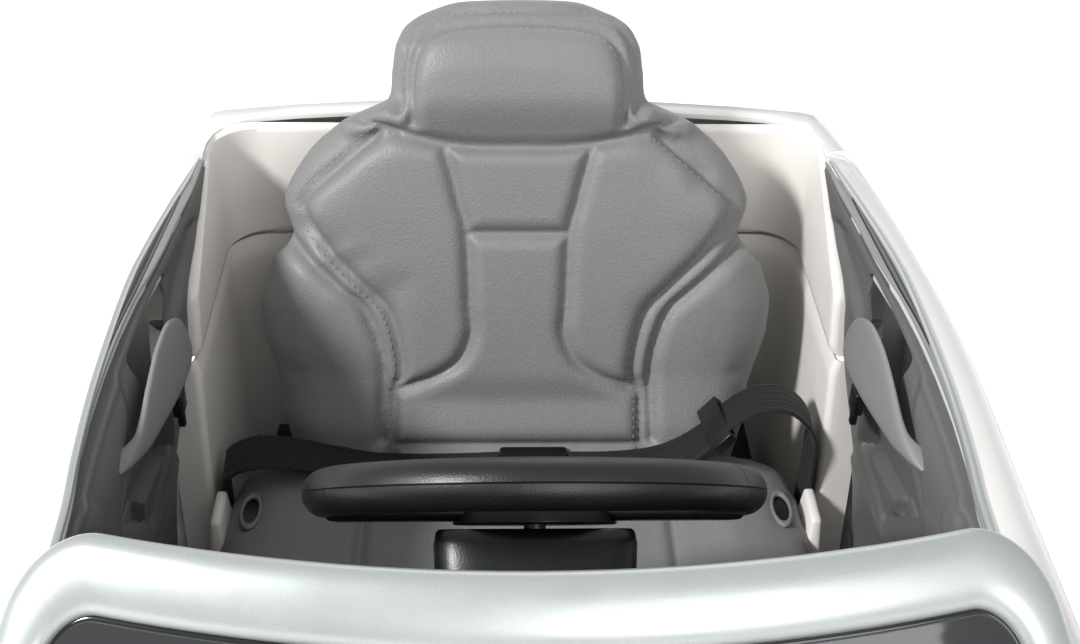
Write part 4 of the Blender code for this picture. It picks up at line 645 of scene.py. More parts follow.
def camera_matrix():
    """Where the camera stands and how it is turned."""
    ahead = Vector((math.sin(CAMERA_TURN) * math.cos(CAMERA_DOWN),
                    math.cos(CAMERA_TURN) * math.cos(CAMERA_DOWN), -math.sin(CAMERA_DOWN)))
    level = Vector((math.cos(CAMERA_TURN), -math.sin(CAMERA_TURN), 0.0))
    upright = level.cross(ahead)
    right = math.cos(CAMERA_ROLL) * level + math.sin(CAMERA_ROLL) * upright
    up = -math.sin(CAMERA_ROLL) * level + math.cos(CAMERA_ROLL) * upright
    turn = Matrix((right, up, -ahead)).transposed().to_4x4()
    return Matrix.Translation(CAMERA_PLACE) @ turn


# Lamps as name, place, aim, width in metres and watts
LAMPS = (("key_light", (-1.75, -0.85, 2.10), (0.0, 0.1, 0.3), 0.42, 84.0),
         ("fill_light", (0.8, -2.1, 1.5), (0.0, 0.1, 0.3), 1.8, 30.0),
         ("rear_light", (0.3, 2.4, 1.6), (0.0, 0.0, 0.3), 1.6, 8.0))
FLOOR_WIDTH = 14.0
WORLD_STRENGTH = 0.62


def area_light(name, place, aim, size, power):
    """A round white lamp turned towards its aim."""
    bpy.ops.object.light_add(type="AREA", location=place)
    lamp = bpy.context.object
    lamp.name = name
    lamp.data.shape = "DISK"
    lamp.data.size = size
    lamp.data.energy = power
    lamp.rotation_euler = (Vector(aim) - Vector(place)).to_track_quat("-Z", "Y").to_euler()
    return lamp


class RIDEON_OT_stage(bpy.types.Operator):
    """Floor, lights and camera"""
    bl_idname = "rideon.stage"
    bl_label = "Stage"

    def execute(self, context):
        deselect()
        bpy.ops.mesh.primitive_plane_add(size=FLOOR_WIDTH, location=(0.0, 0.0, 0.0))
        floor = settle(bpy.context.object, "studio_floor")
        floor.data.materials.append(floor_finish())
        for lamp in LAMPS:
            area_light(*lamp)
        world = bpy.data.worlds.new("studio_world")
        world.use_nodes = True
        world.node_tree.nodes["Background"].inputs["Color"].default_value = (1.0, 1.0, 1.0, 1.0)
        world.node_tree.nodes["Background"].inputs["Strength"].default_value = WORLD_STRENGTH
        context.scene.world = world
        context.scene.view_settings.view_transform = "Standard"
        context.scene.view_settings.look = "None"
        bpy.ops.object.camera_add()
        camera = bpy.context.object
        camera.name = "photo_camera"
        camera.data.sensor_width = SENSOR
        camera.data.lens = SENSOR * FOCAL_PIXELS / PHOTO_WIDTH
        camera.data.clip_start = 0.01
        camera.matrix_world = camera_matrix()
        context.scene.camera = camera
        return {"FINISHED"}


# Pieces that keep the CAD's shape

NODE_FINISHES = {
    "white_plastic": ("body_front", "body_rear", "sill_left", "sill_right", "door_shell_left",
                      "door_shell_right", "mirror_left", "mirror_right"),
    "liner_plastic": ("seat_liner_left", "seat_liner_right"),
    "grey_plastic": ("door_panel_left", "door_panel_right", "pull_handle_left", "pull_handle_right"),
    "bumper_plastic": ("front_bumper", "rear_bumper"),
    "black_plastic": ("chassis_tub", "accelerator_pedal", "steering_wheel", "column_cover", "dashboard",
                      "drive_lever", "gearbox_left", "gearbox_right", "release_lever_left",
                      "release_lever_right", "belt_slider", "belt_buckle", "grille"),
    "battery_case": ("battery",),
    "silver_paint": ("horn_button", "windscreen_frame", "door_trim_left", "door_trim_right", "rim_front_left",
                     "rim_front_right", "rim_rear_left", "rim_rear_right"),
    "steel": ("steering_column", "tie_rod", "steering_knuckle_left", "steering_knuckle_right",
              "front_axle_beam", "rear_axle", "hinge_pin_left", "hinge_pin_right"),
    "tyre_rubber": ("tyre_front_left", "tyre_front_right", "tyre_rear_left", "tyre_rear_right"),
    "tinted_glass": ("windscreen_glass",),
    "lamp_lens": ("headlamp_left", "headlamp_right"),
    "red_lens": ("tail_lamp_left", "tail_lamp_right"),
    "seat_leather": ("seat_back", "seat_base"),
    "webbing": ("belt_strap_left", "belt_strap_right"),
}


class RIDEON_OT_node_finishes(bpy.types.Operator):
    """Finishes on every carried-over piece of the frame"""
    bl_idname = "rideon.node_finishes"
    bl_label = "Frame finishes"

    def execute(self, context):
        make_finishes()
        for finish, names in NODE_FINISHES.items():
            for name in names:
                mesh = frame["nodes"][name].data
                mesh.materials.clear()
                mesh.materials.append(FINISHES[finish])
        left = set(frame["nodes"]) - {name for names in NODE_FINISHES.values() for name in names}
        if left:
            raise RuntimeError("no finish for " + ", ".join(sorted(left)))
        return {"FINISHED"}


# Nodes whose looks are modelled afresh further down
REMODELLED = {"steering_wheel", "horn_button", "column_cover", "windscreen_frame", "windscreen_glass"}
for label in ("left", "right"):
    REMODELLED |= {part + "_" + label for part in ("door_panel", "pull_handle", "release_lever", "door_trim",
                                                   "seat_liner", "tyre_front", "tyre_rear")}


def carrier_of(node):
    """The moving body that a CAD node belongs to."""
    bodies = frame["record"]["behaviour"]["bodies"]
    return next(body for body, nodes in bodies.items() if node in nodes)


def soften(obj):
    """Join coplanar triangles and round the sharp edges of a moulded piece."""
    edit(obj, everything=True)
    bpy.ops.mesh.dissolve_limited(angle_limit=math.radians(0.6))
    leave_edit()
    return rounded(obj, sizes().edge_radius, 2, 40.0)


class RIDEON_OT_shells(bpy.types.Operator):
    """Rigid pieces with their faces joined and shaded smooth"""
    bl_idname = "rideon.shells"
    bl_label = "Moulded shells"

    def execute(self, context):
        soft = NODE_FINISHES["seat_leather"] + NODE_FINISHES["webbing"]
        for finish, names in NODE_FINISHES.items():
            for name in names:
                if name in soft or name in REMODELLED:
                    continue
                made = merged_copy(name, name + "_shell")
                soften(made)
                finish_piece(made, carrier_of(name), finish, (name,))
        return {"FINISHED"}


# The seat: its back stands in its own plane, u across, v up along it and out towards the driver

SEAT_FOOT = Vector((0.0, 0.262, 0.235))
SEAT_LEAN = math.radians(19.0)
WING_SEAM = [(-0.012, 0.097), (0.048, 0.097), (0.062, 0.091), (0.085, 0.092), (0.115, 0.100), (0.133, 0.116),
             (0.160, 0.142), (0.186, 0.161), (0.203, 0.162), (0.230, 0.133), (0.254, 0.104)]
PANEL_SEAM = [(0.050, 0.097), (0.055, 0.084), (0.064, 0.062), (0.077, 0.045), (0.099, 0.036), (0.123, 0.037),
              (0.178, 0.039), (0.200, 0.044), (0.225, 0.050), (0.246, 0.056)]
COLLAR_SEAM = [(0.244, 0.0), (0.244, 0.030), (0.247, 0.060), (0.255, 0.092), (0.263, 0.118), (0.270, 0.132)]
HEAD_SEAM = [(0.262, 0.079), (0.290, 0.080), (0.310, 0.077), (0.324, 0.069), (0.331, 0.056), (0.335, 0.030),
             (0.336, 0.0)]
OUTER_SEAM = [(0.176, 0.188), (0.160, 0.167), (0.133, 0.137), (0.115, 0.118), (0.085, 0.107), (0.062, 0.1045),
              (0.040, 0.105), (0.012, 0.106)]
HEAD_EDGE_SEAM = [(0.272, 0.088), (0.292, 0.0885), (0.315, 0.085), (0.332, 0.076), (0.340, 0.060),
                  (0.343, 0.030), (0.344, 0.0)]
CROSS_SEAM = [(0.178, 0.0), (0.178, 0.020), (0.178, 0.039)]
FOOT_SEAM = [(0.0065, 0.0), (0.0065, 0.050), (0.0065, 0.097)]
BASE_SEAM_X = 0.118
BASE_CROSS_Y = 0.085
SEAT_VOXEL = 0.005
BACK_SWELL = 0.006
BASE_SWELL = 0.004
BACK_CROWN = 0.003
BASE_CROWN = 0.002
FOAM_FILL = 0.7
CLOTH_FRAMES = 20
STITCH_ASIDE = 0.0050
SLOT_STRETCH = (0.66, 1.62, 1.0)
BASE_TOP_Z = 0.236
SLOT_PLACE = (0.2015, 0.186)


def seat_frame():
    """Turns a point of the seat back's plane into the car's frame."""
    up = Vector((0.0, math.sin(SEAT_LEAN), math.cos(SEAT_LEAN)))
    out = Vector((0.0, -math.cos(SEAT_LEAN), math.sin(SEAT_LEAN)))
    return Matrix.Translation(SEAT_FOOT) @ Matrix((Vector((1.0, 0.0, 0.0)), up, out)).transposed().to_4x4()


def curve_points(stations, step):
    """Points along a smooth curve through stations, about a step apart."""
    points = [Vector(station) for station in stations]
    dense = []
    for index in range(len(points) - 1):
        before = points[max(index - 1, 0)]
        one, two = points[index], points[index + 1]
        after = points[min(index + 2, len(points) - 1)]
        count = max(int((two - one).length / step), 1)
        for part in range(count):
            t = part / count
            dense.append(0.5 * (2 * one + (two - before) * t
                                + (2 * before - 5 * one + 4 * two - after) * t ** 2
                                + (3 * one - before - 3 * two + after) * t ** 3))
    dense.append(points[-1])
    return dense


def both_sides(stations):
    """A seam of (v, u) stations on both sides of the seat's middle."""
    return [[(side * u, v, 0.0) for v, u in stations] for side in (1, -1)]


def sewn(obj, seams, to_flat, normal_test, depth, width, crown):
    """Press seams into a soft piece and let the cover rise between them."""
    from_flat = to_flat.inverted()
    tree_points = []
    for seam in seams:
        tree_points += curve_points(seam, 0.002)
    tree = KDTree(len(tree_points))
    for index, point in enumerate(tree_points):
        tree.insert(Vector((point.x, point.y, 0.0)), index)
    tree.balance()
    mesh = obj.data
    normals = [Vector(item.vector) for item in mesh.vertex_normals]
    for vert in mesh.vertices:
        normal = normals[vert.index]
        facing = normal_test(normal)
        if facing <= 0.0:
            continue
        flat = from_flat @ vert.co
        distance = tree.find(Vector((flat.x, flat.y, 0.0)))[2]
        groove = -depth * math.exp(-(distance / width) ** 2)
        swell = crown * smooth_step(distance, 0.0, 0.013)
        vert.co += normal * (groove + swell) * facing
    mesh.update()


def swollen(obj, voxel, cap, evenings):
    """Remesh a soft piece and let cloth swell it, no point moving more than cap."""
    pick(obj)
    obj.data.remesh_voxel_size = voxel
    obj.data.use_remesh_preserve_volume = True
    bpy.ops.object.voxel_remesh()
    start = [vert.co.copy() for vert in obj.data.vertices]
    cloth = obj.modifiers.new("Cloth", "CLOTH")
    cloth.settings.quality = 4
    cloth.settings.mass = 0.3
    cloth.settings.tension_stiffness = 30.0
    cloth.settings.compression_stiffness = 30.0
    cloth.settings.bending_stiffness = 1.5
    cloth.settings.use_pressure = True
    cloth.settings.uniform_pressure_force = 4.0
    cloth.settings.effector_weights.gravity = 0.0
    cloth.point_cache.frame_start = 1
    cloth.point_cache.frame_end = CLOTH_FRAMES
    for now in range(1, CLOTH_FRAMES + 1):
        bpy.context.scene.frame_set(now)
    bpy.ops.object.modifier_apply(modifier=cloth.name)
    bpy.context.scene.frame_set(1)
    for vert, before in zip(obj.data.vertices, start):
        move = vert.co - before
        if move.length > cap:
            vert.co = before + move * (cap / move.length)
    obj.data.update()
    apply_modifier(obj, "SMOOTH", factor=0.5, iterations=evenings)
    apply_modifier(obj, "SUBSURF", levels=1, render_levels=1)


def stitched(name, carrier, seams, to_flat, offset, body):
    """Short thread stitches beside seams, lying on the carrier's surface."""
    tree = BVHTree.FromPolygons([vert.co for vert in carrier.data.vertices],
                                [face.vertices for face in carrier.data.polygons])
    out = to_flat.to_3x3() @ Vector((0.0, 0.0, 1.0))
    pitch = sizes().stitch_pitch
    bpy.ops.mesh.primitive_uv_sphere_add(segments=6, ring_count=4, radius=1.0)
    pattern = settle(bpy.context.object, "stitch_pattern").data
    points = [vert.co.copy() for vert in pattern.vertices]
    shapes = [list(face.vertices) for face in pattern.polygons]
    bpy.data.objects.remove(bpy.context.object)
    verts, faces = [], []
    for seam in seams:
        route = curve_points(seam, pitch)
        for index in range(len(route) - 1):
            along = route[index + 1] - route[index]
            if along.length < 0.0015:
                continue
            side = Vector((-along.y, along.x, 0.0)).normalized() * offset
            flat = (route[index] + route[index + 1]) / 2 + side
            high = to_flat @ Vector((flat.x, flat.y, 0.20))
            hit, normal, _, _ = tree.ray_cast(high, -out)
            if hit is None:
                continue
            run = (to_flat.to_3x3() @ along).normalized()
            run = (run - normal * run.dot(normal)).normalized()
            turn = Matrix((run, normal.cross(run), normal)).transposed()
            start = len(verts)
            size = Vector((pitch * 0.36, 0.0007, 0.0005))
            for point in points:
                local = Vector((point.x * size.x, point.y * size.y, point.z * size.z))
                verts.append(hit + turn @ local)
            faces += [[start + corner for corner in shape] for shape in shapes]
    mesh = bpy.data.meshes.new(name)
    mesh.from_pydata(verts, [], faces)
    return finish_piece(linked(name, mesh), body, "thread", degrees=60.0)


class RIDEON_OT_seat(bpy.types.Operator):
    """Padded seat back with headrest, padded base, seams and stitches"""
    bl_idname = "rideon.seat"
    bl_label = "Seat"

    def execute(self, context):
        flat = seat_frame()
        out = flat.to_3x3() @ Vector((0.0, 0.0, 1.0))
        seams = []
        for stations in (WING_SEAM, PANEL_SEAM, COLLAR_SEAM, HEAD_SEAM, CROSS_SEAM, FOOT_SEAM, OUTER_SEAM,
                         HEAD_EDGE_SEAM):
            seams += both_sides(stations)
        back = merged_copy("seat_back", "seat_back_cushion")
        swollen(back, SEAT_VOXEL, BACK_SWELL, 9)
        depth, width = sizes().seam_depth, sizes().seam_width
        sewn(back, seams, flat, lambda normal: smooth_step(normal.dot(out), 0.05, 0.5), depth, width,
             BACK_CROWN)
        finish_piece(back, "car", "seat_leather", ("seat_back",), 80.0)
        topstitch = [seam for stations in (WING_SEAM, HEAD_SEAM) for seam in both_sides(stations)]
        stitched("seat_back_stitches", back, topstitch, flat, STITCH_ASIDE, "car")
        base = merged_copy("seat_base", "seat_base_cushion")
        swollen(base, SEAT_VOXEL, BASE_SWELL, 6)
        level = Matrix.Translation((0.0, 0.0, BASE_TOP_Z))
        lines = [[(side * BASE_SEAM_X, y, 0.0) for y in (0.020, 0.100, 0.180, 0.260)] for side in (1, -1)]
        lines.append([(x, BASE_CROSS_Y, 0.0) for x in (-BASE_SEAM_X, 0.0, BASE_SEAM_X)])
        sewn(base, lines, level, lambda normal: smooth_step(normal.z, 0.05, 0.5), depth, width, BASE_CROWN)
        finish_piece(base, "car", "seat_leather", ("seat_base",), 80.0)
        for label, side in SIDES:
            place = Vector((side * SLOT_PLACE[0], SLOT_PLACE[1], BASE_TOP_Z + 0.0006))
            bpy.ops.mesh.primitive_torus_add(major_radius=0.0105, minor_radius=0.0020, major_segments=56,
                                             minor_segments=14, location=place)
            ring = bpy.context.object
            ring.scale = SLOT_STRETCH
            finish_piece(settle(ring, "belt_slot_rim_" + label), "car", "seat_leather", (),
                         60.0)
            well = rod("belt_slot_well_" + label, place - Vector((0.0, 0.0, 0.030)),
                       place + Vector((0.0, 0.0, 0.0004)), 0.0098, 48)
            edit(well)
            choose(well, "FACE", lambda face: face.normal.z > 0.9)
            bpy.ops.mesh.inset(thickness=0.0008)
            bpy.ops.mesh.extrude_region_move(TRANSFORM_OT_translate={"value": (0.0, 0.0, -0.0022)})
            leave_edit()
            stretch = Matrix.Diagonal((*SLOT_STRETCH, 1.0))
            well.data.transform(Matrix.Translation(place) @ stretch @ Matrix.Translation(-place))
            finish_piece(well, "car", "black_plastic", (), 40.0)
        return {"FINISHED"}


# The lap belt

RIGHT_STRAP = [(-0.2268, 0.226, 0.172), (-0.2270, 0.226, 0.236), (-0.2200, 0.227, 0.2505),
               (-0.2020, 0.229, 0.2575), (-0.1750, 0.230, 0.2560), (-0.1400, 0.230, 0.2485),
               (-0.1000, 0.229, 0.2420), (-0.0500, 0.226, 0.2415), (-0.0143, 0.226, 0.2415)]
LEFT_STRAP = [(0.2268, 0.226, 0.172), (0.2278, 0.227, 0.250), (0.2260, 0.230, 0.283), (0.2080, 0.234, 0.303),
              (0.1850, 0.236, 0.304), (0.1640, 0.235, 0.291), (0.1440, 0.232, 0.268), (0.1220, 0.230, 0.2515),
              (0.1000, 0.229, 0.2430), (0.0700, 0.226, 0.2415), (0.0403, 0.226, 0.2415)]
STRAP_WIDTH = 0.038
STRAP_RIBS = 5


def strap(name, stations, node, slot_body):
    """Woven strap along a smooth route: a ribbed section, skinned, with its own map in metres."""
    route = curve_points(stations, 0.004)
    half = STRAP_WIDTH / 2
    across_steps = STRAP_RIBS * 6
    section = []
    for step in range(across_steps + 1):
        u = step / across_steps
        rib = 0.00045 * abs(math.sin(math.pi * STRAP_RIBS * u)) ** 0.6
        edge = 1 - max(0.0, abs(2 * u - 1) - 0.94) / 0.06
        section.append((half * (2 * u - 1), (0.00085 + rib) * max(edge, 0.25)))
    outline = section + [(a, -b) for a, b in reversed(section)]
    rings = []
    lengths = [0.0]
    for index, here in enumerate(route):
        before, after = route[max(index - 1, 0)], route[min(index + 1, len(route) - 1)]
        along = (after - before).normalized()
        side = Vector((0.0, 1.0, 0.12 * math.sin(index * 0.11)))
        side = (side - along * side.dot(along)).normalized()
        up = along.cross(side)
        rings.append([here + side * a + up * b for a, b in outline])
        lengths.append(lengths[-1] + (after - here).length)
    made = skinned(name, rings)
    layer = made.data.uv_layers.new(name="StrapMap")
    count = len(outline)
    for face in made.data.polygons:
        for loop in face.loop_indices:
            vert = made.data.loops[loop].vertex_index
            ring, place = divmod(vert, count)
            layer.data[loop].uv = (outline[place][0], lengths[ring])
    finish_piece(made, slot_body, "webbing", (node,), 50.0)
    return made


class RIDEON_OT_belts(bpy.types.Operator):
    """Lap belt with its straps"""
    bl_idname = "rideon.belts"
    bl_label = "Lap belt"

    def execute(self, context):
        strap("belt_strap_right_webbing", RIGHT_STRAP, "belt_strap_right", "car")
        strap("belt_strap_left_webbing", LEFT_STRAP, "belt_strap_left", "car")
        return {"FINISHED"}


# Steering wheel, column cover and horn button, modelled round the wheel's own middle

WHEEL_PLACE = Vector((0.003, -0.035, 0.458))
WHEEL_TILT = math.radians(45.0)
WHEEL_OUTSIDE = 0.126
RIM_TUBE = 0.0128
RIM_STEPS = 120
CROSS_SEAM_TURNS = (-33.0, -147.0, 33.0, 147.0)
HUB_R = 0.045
HUB_TOP = 0.006
HUB_LOW = -0.017
HORN_R = 0.030
SPOKE_REACH = 0.1132


def wheel_matrix():
    return Matrix.Translation(WHEEL_PLACE) @ turn_to((0.0, math.cos(WHEEL_TILT), math.sin(WHEEL_TILT)))


def wheel_rim():
    """Rim with a parting seam round its outside and short cross seams where the grips end."""
    deselect()
    bpy.ops.mesh.primitive_torus_add(major_radius=WHEEL_OUTSIDE - RIM_TUBE, minor_radius=RIM_TUBE,
                                     major_segments=RIM_STEPS, minor_segments=32)
    rim = bpy.context.object
    rim.name = "wheel_rim"

    def on_equator(edge):
        return all(vert.co.xy.length > WHEEL_OUTSIDE - 0.0002 for vert in edge.verts)

    def on_cross(edge):
        middle = middle_of(edge)
        turn = math.degrees(math.atan2(middle.y, middle.x))
        along = edge.verts[0].co - edge.verts[1].co
        radial = Vector((middle.x, middle.y, 0.0)).normalized()
        tangent = Vector((-radial.y, radial.x, 0.0))
        near = min(abs(turn - seam) for seam in CROSS_SEAM_TURNS)
        return near < 0.6 and abs(along.normalized().dot(tangent)) < 0.3
    scored(rim, on_equator, 0.0010, 0.0007)
    scored(rim, on_cross, 0.0008, 0.0005)
    return rim


def spoke(name, low, high, wide_end):
    """One spoke: a bar that widens towards the hub."""
    made = block(name, low, high)
    edit(made)
    choose(made, "FACE", wide_end)
    bpy.ops.transform.resize(value=(1.25, 1.25, 1.0))
    leave_edit()
    return rounded(made, 0.0045, 4)


def wheel_hub():
    """Hub that narrows towards its face, with the horn's recess in it."""
    deselect()
    bpy.ops.mesh.primitive_cylinder_add(vertices=72, radius=HUB_R, depth=HUB_TOP - HUB_LOW,
                                        location=(0.0, 0.0, (HUB_TOP + HUB_LOW) / 2))
    hub = settle(bpy.context.object, "wheel_hub")
    edit(hub)
    choose(hub, "FACE", lambda face: face.normal.z > 0.9)
    bpy.ops.transform.resize(value=(0.87, 0.87, 1.0))
    bpy.ops.mesh.inset(thickness=0.87 * HUB_R - HORN_R - 0.0006)
    bpy.ops.mesh.extrude_region_move(TRANSFORM_OT_translate={"value": (0.0, 0.0, -0.0095)})
    leave_edit()
    return rounded(hub, 0.0012, 3)


def horn_cap():
    """Horn button: a dished cap with a ring groove."""
    deselect()
    bpy.ops.mesh.primitive_cylinder_add(vertices=64, radius=HORN_R - 0.0002, depth=0.0085,
                                        location=(0.0, 0.0, HUB_TOP - 0.0022))
    horn = settle(bpy.context.object, "horn_cap")
    edit(horn)
    choose(horn, "FACE", lambda face: face.normal.z > 0.9)
    bpy.ops.transform.resize(value=(0.93, 0.93, 1.0))
    bpy.ops.mesh.inset(thickness=0.0035, depth=0.0006)
    bpy.ops.mesh.inset(thickness=0.0008, depth=-0.0009)
    bpy.ops.mesh.inset(thickness=0.0008, depth=0.0009)
    bpy.ops.mesh.inset(thickness=0.010, depth=-0.0006)
    leave_edit()
    return rounded(horn, 0.0004, 2, 40.0)


COVER_TOP = 0.0195
COVER_STATIONS = ((0.0, 0.0520, 0.0285), (0.0016, 0.0536, 0.0300), (0.008, 0.0549, 0.0320),
                  (0.030, 0.0536, 0.0326), (0.057, 0.0505, 0.0340), (0.085, 0.0492, 0.0350),
                  (0.117, 0.0480, 0.0360))


class RIDEON_OT_steering(bpy.types.Operator):
    """Steering wheel with its seams, spokes, hub, horn button and column cover"""
    bl_idname = "rideon.steering"
    bl_label = "Steering wheel"

    def execute(self, context):
        place = wheel_matrix()
        left = spoke("spoke_left", (0.030, -0.017, -0.015), (SPOKE_REACH, 0.013, 0.002),
                     lambda face: face.normal.x < -0.9)
        right = spoke("spoke_right", (-SPOKE_REACH, -0.017, -0.015), (-0.030, 0.013, 0.002),
                      lambda face: face.normal.x > 0.9)
        low = spoke("spoke_low", (-0.020, 0.030, -0.011), (0.020, SPOKE_REACH, 0.002),
                    lambda face: face.normal.y < -0.9)
        rim = placed(wheel_rim(), place, "steering_wheel_rim")
        frame_work = placed(merged("wheel_spokes", wheel_hub(), left, right, low), place,
                            "steering_wheel_spokes")
        finish_piece(rim, "steering", "wheel_grip", ("steering_wheel",), 40.0)
        finish_piece(frame_work, "steering", "black_plastic", ("steering_wheel",))
        horn = placed(horn_cap(), place, "horn_button_cap")
        finish_piece(horn, "horn", "black_plastic", ("horn_button",))
        rings = []
        for down, half_wide, half_deep in COVER_STATIONS:
            ring = []
            for step in range(64):
                angle = 2 * math.pi * step / 64
                across = half_wide * squarish(math.cos(angle), 0.42)
                aside = half_deep * squarish(math.sin(angle), 0.42)
                ring.append(place @ Vector((across, aside, -COVER_TOP - down)))
            rings.append(ring)
        cover = skinned("column_cover_moulding", rings)
        rounded(cover, 0.0012, 3, 50.0)
        finish_piece(cover, "car", "black_plastic", ("column_cover",), 50.0)
        return {"FINISHED"}


# Windscreen

SCREEN_TOP_Y = -0.145
SCREEN_TOP_Z = 0.545
SCREEN_RUN = 0.95
SCREEN_BOW = 0.033
SCREEN_HALF = 0.224
SCREEN_FLARE = 0.40
SCREEN_BASE_Z = 0.405
SCREEN_CORNER = 0.032
FRAME_BAND = 0.026
PILLAR_BAND = 0.024
FRAME_T = 0.020


def screen_point(x, z, out=0.0):
    """A point of the windscreen's curved face, moved out along its slope."""
    y = SCREEN_TOP_Y - (SCREEN_TOP_Z - z) * SCREEN_RUN - SCREEN_BOW * (1 - (x / SCREEN_HALF) ** 2)
    slope = math.hypot(1.0, SCREEN_RUN)
    return Vector((x, y - out / slope, z + out * SCREEN_RUN / slope))


def screen_arch(side_inset, top_inset, corner, low_z, corner_steps=14, edge_steps=26, side_steps=10):
    """(x, z) points up one pillar, over the header and down the other pillar."""
    top = SCREEN_TOP_Z - top_inset

    def half(z):
        return SCREEN_HALF + (SCREEN_TOP_Z - z) * SCREEN_FLARE - side_inset
    points = []
    for step in range(side_steps):
        z = low_z + (top - corner - low_z) * step / side_steps
        points.append((half(z), z))
    centre_x = half(top) - corner
    for step in range(corner_steps + 1):
        angle = math.pi / 2 * step / corner_steps
        lean = (half(top - corner) - half(top)) * (1 - math.sin(angle))
        points.append((centre_x + lean + corner * math.cos(angle), top - corner + corner * math.sin(angle)))
    for step in range(1, edge_steps):
        points.append((centre_x * (1 - 2 * step / edge_steps), top))
    left = points[:side_steps + corner_steps + 1]
    return points + [(-x, z) for x, z in reversed(left)]


def screen_band(name, outer, inner, thick, steps, flat=0.8, lift=0.0):
    """A rounded band between two arches on the windscreen's face."""
    rings = []
    for (xo, zo), (xi, zi) in zip(outer, inner):
        ring = []
        for step in range(steps):
            angle = 2 * math.pi * step / steps
            along = squarish(math.cos(angle), flat)
            up = squarish(math.sin(angle), flat) * thick / 2
            mix = 0.5 + 0.5 * along
            ring.append(screen_point(xi + (xo - xi) * mix, zi + (zo - zi) * mix, up + lift))
        rings.append(ring)
    return skinned(name, rings)


class RIDEON_OT_windscreen(bpy.types.Operator):
    """Silver windscreen frame, black gasket and smoked pane"""
    bl_idname = "rideon.windscreen"
    bl_label = "Windscreen"

    def execute(self, context):
        outer = screen_arch(0.0, 0.0, SCREEN_CORNER, SCREEN_BASE_Z - 0.004)
        inner = screen_arch(PILLAR_BAND, FRAME_BAND, SCREEN_CORNER - 0.014, SCREEN_BASE_Z - 0.004)
        header = screen_band("windscreen_frame_moulding", outer, inner, FRAME_T, 40)
        finish_piece(header, "car", "silver_paint", ("windscreen_frame",), 60.0)
        lip = screen_arch(PILLAR_BAND - 0.0006, FRAME_BAND - 0.0006, SCREEN_CORNER - 0.0146, SCREEN_BASE_Z)
        seat = screen_arch(PILLAR_BAND + 0.0026, FRAME_BAND + 0.0026, SCREEN_CORNER - 0.0170, SCREEN_BASE_Z)
        gasket = screen_band("windscreen_gasket", lip, seat, 0.0052, 12)
        finish_piece(gasket, "car", "gloss_black", (), 60.0)
        edge = screen_arch(PILLAR_BAND + 0.0008, FRAME_BAND + 0.0008, SCREEN_CORNER - 0.0150, SCREEN_BASE_Z)
        rows = []
        for lift in (-0.002, 0.002):
            side = []
            for row in range(10):
                share = 1 - row / 10
                ring = []
                for x, z in edge:
                    ring.append(screen_point(x * share,
                                             SCREEN_BASE_Z + 0.06 + (z - SCREEN_BASE_Z - 0.06) * share, lift))
                side.append(ring)
            rows.append(side)
        pane = skinned("windscreen_pane", list(reversed(rows[0])) + rows[1])
        finish_piece(pane, "car", "tinted_glass", ("windscreen_glass",), 40.0)
        return {"FINISHED"}


# Doors: the inner panel with its relief, pull handle, release lever and the strips on the top edge

DOOR_FRONT = -0.210
DOOR_EDGE = [(0.150, 0.190), (0.250, 0.212), (0.385, 0.250), (0.408, 0.300), (0.434, 0.366), (0.700, 0.372)]
DOOR_INSET = 0.005
PANEL_LOW_Z = 0.155
PANEL_TOP_Z = 0.437
PANEL_SHEET = 0.0022
PANEL_ROUND = 0.0035
PANEL_FACE = [(0.163, 0.2640), (0.195, 0.2630), (0.245, 0.2590), (0.295, 0.2500), (0.345, 0.2410),
              (0.380, 0.2385)]
PANEL_TOP = [(-0.215, 0.2400), (-0.040, 0.2480), (0.010, 0.2535), (0.055, 0.2560), (0.100, 0.2563),
             (0.140, 0.2550), (0.172, 0.2526), (0.193, 0.2495), (0.228, 0.2455), (0.269, 0.2430),
             (0.314, 0.2395), (0.386, 0.2370)]
# Forms pressed into the panel, as outlines of (y, z)
REAR_RECESS = [(0.319, 0.416), (0.293, 0.430), (0.239, 0.430), (0.199, 0.431), (0.164, 0.428),
               (0.213, 0.3905), (0.275, 0.400)]
LOW_RECESS = [(0.155, 0.367), (0.122, 0.382), (0.046, 0.395), (0.013, 0.388), (0.1065, 0.298), (0.187, 0.302)]
LOW_LEDGE = [(0.190, 0.299), (0.158, 0.317), (0.084, 0.342), (0.083, 0.328), (0.100, 0.3040), (0.180, 0.284)]
CREASE = [(0.160, 0.460), (0.140, 0.442), (0.100, 0.4396), (0.071, 0.4225), (0.035, 0.4127), (0.005, 0.396),
          (0.004, 0.385), (0.098, 0.293), (0.170, 0.276), (0.230, 0.262)]
REAR_RECESS_DEPTH = 0.0060
LOW_RECESS_DEPTH = 0.0130
CREASE_DEPTH = 0.0028
OPENING = ((0.112, 0.404), (0.222, 0.4335))
HANDLE_ROWS = [(0.212, 0.3905, 0.3965, 0.2410), (0.205, 0.388, 0.399, 0.2365), (0.196, 0.386, 0.408, 0.2310),
               (0.180, 0.385, 0.421, 0.2288), (0.158, 0.3885, 0.431, 0.2280), (0.125, 0.395, 0.4345, 0.2280),
               (0.092, 0.402, 0.431, 0.2285), (0.062, 0.408, 0.424, 0.2300), (0.040, 0.411, 0.419, 0.2350),
               (0.030, 0.4125, 0.4165, 0.2405)]
HANDLE_T = 0.006
HANDLE_TILT = 0.20
LATCH = (0.158, 0.366)
LEVER_FACE_X = 0.2376
GLOSS_INNER = [(0.009, 0.2555), (0.034, 0.2575), (0.078, 0.259), (0.126, 0.258), (0.178, 0.254),
               (0.238, 0.2504), (0.299, 0.2469)]
GLOSS_OUTER = [(0.009, 0.2585), (0.043, 0.2615), (0.083, 0.2630), (0.126, 0.2625), (0.184, 0.2600),
               (0.238, 0.2562), (0.299, 0.2500)]
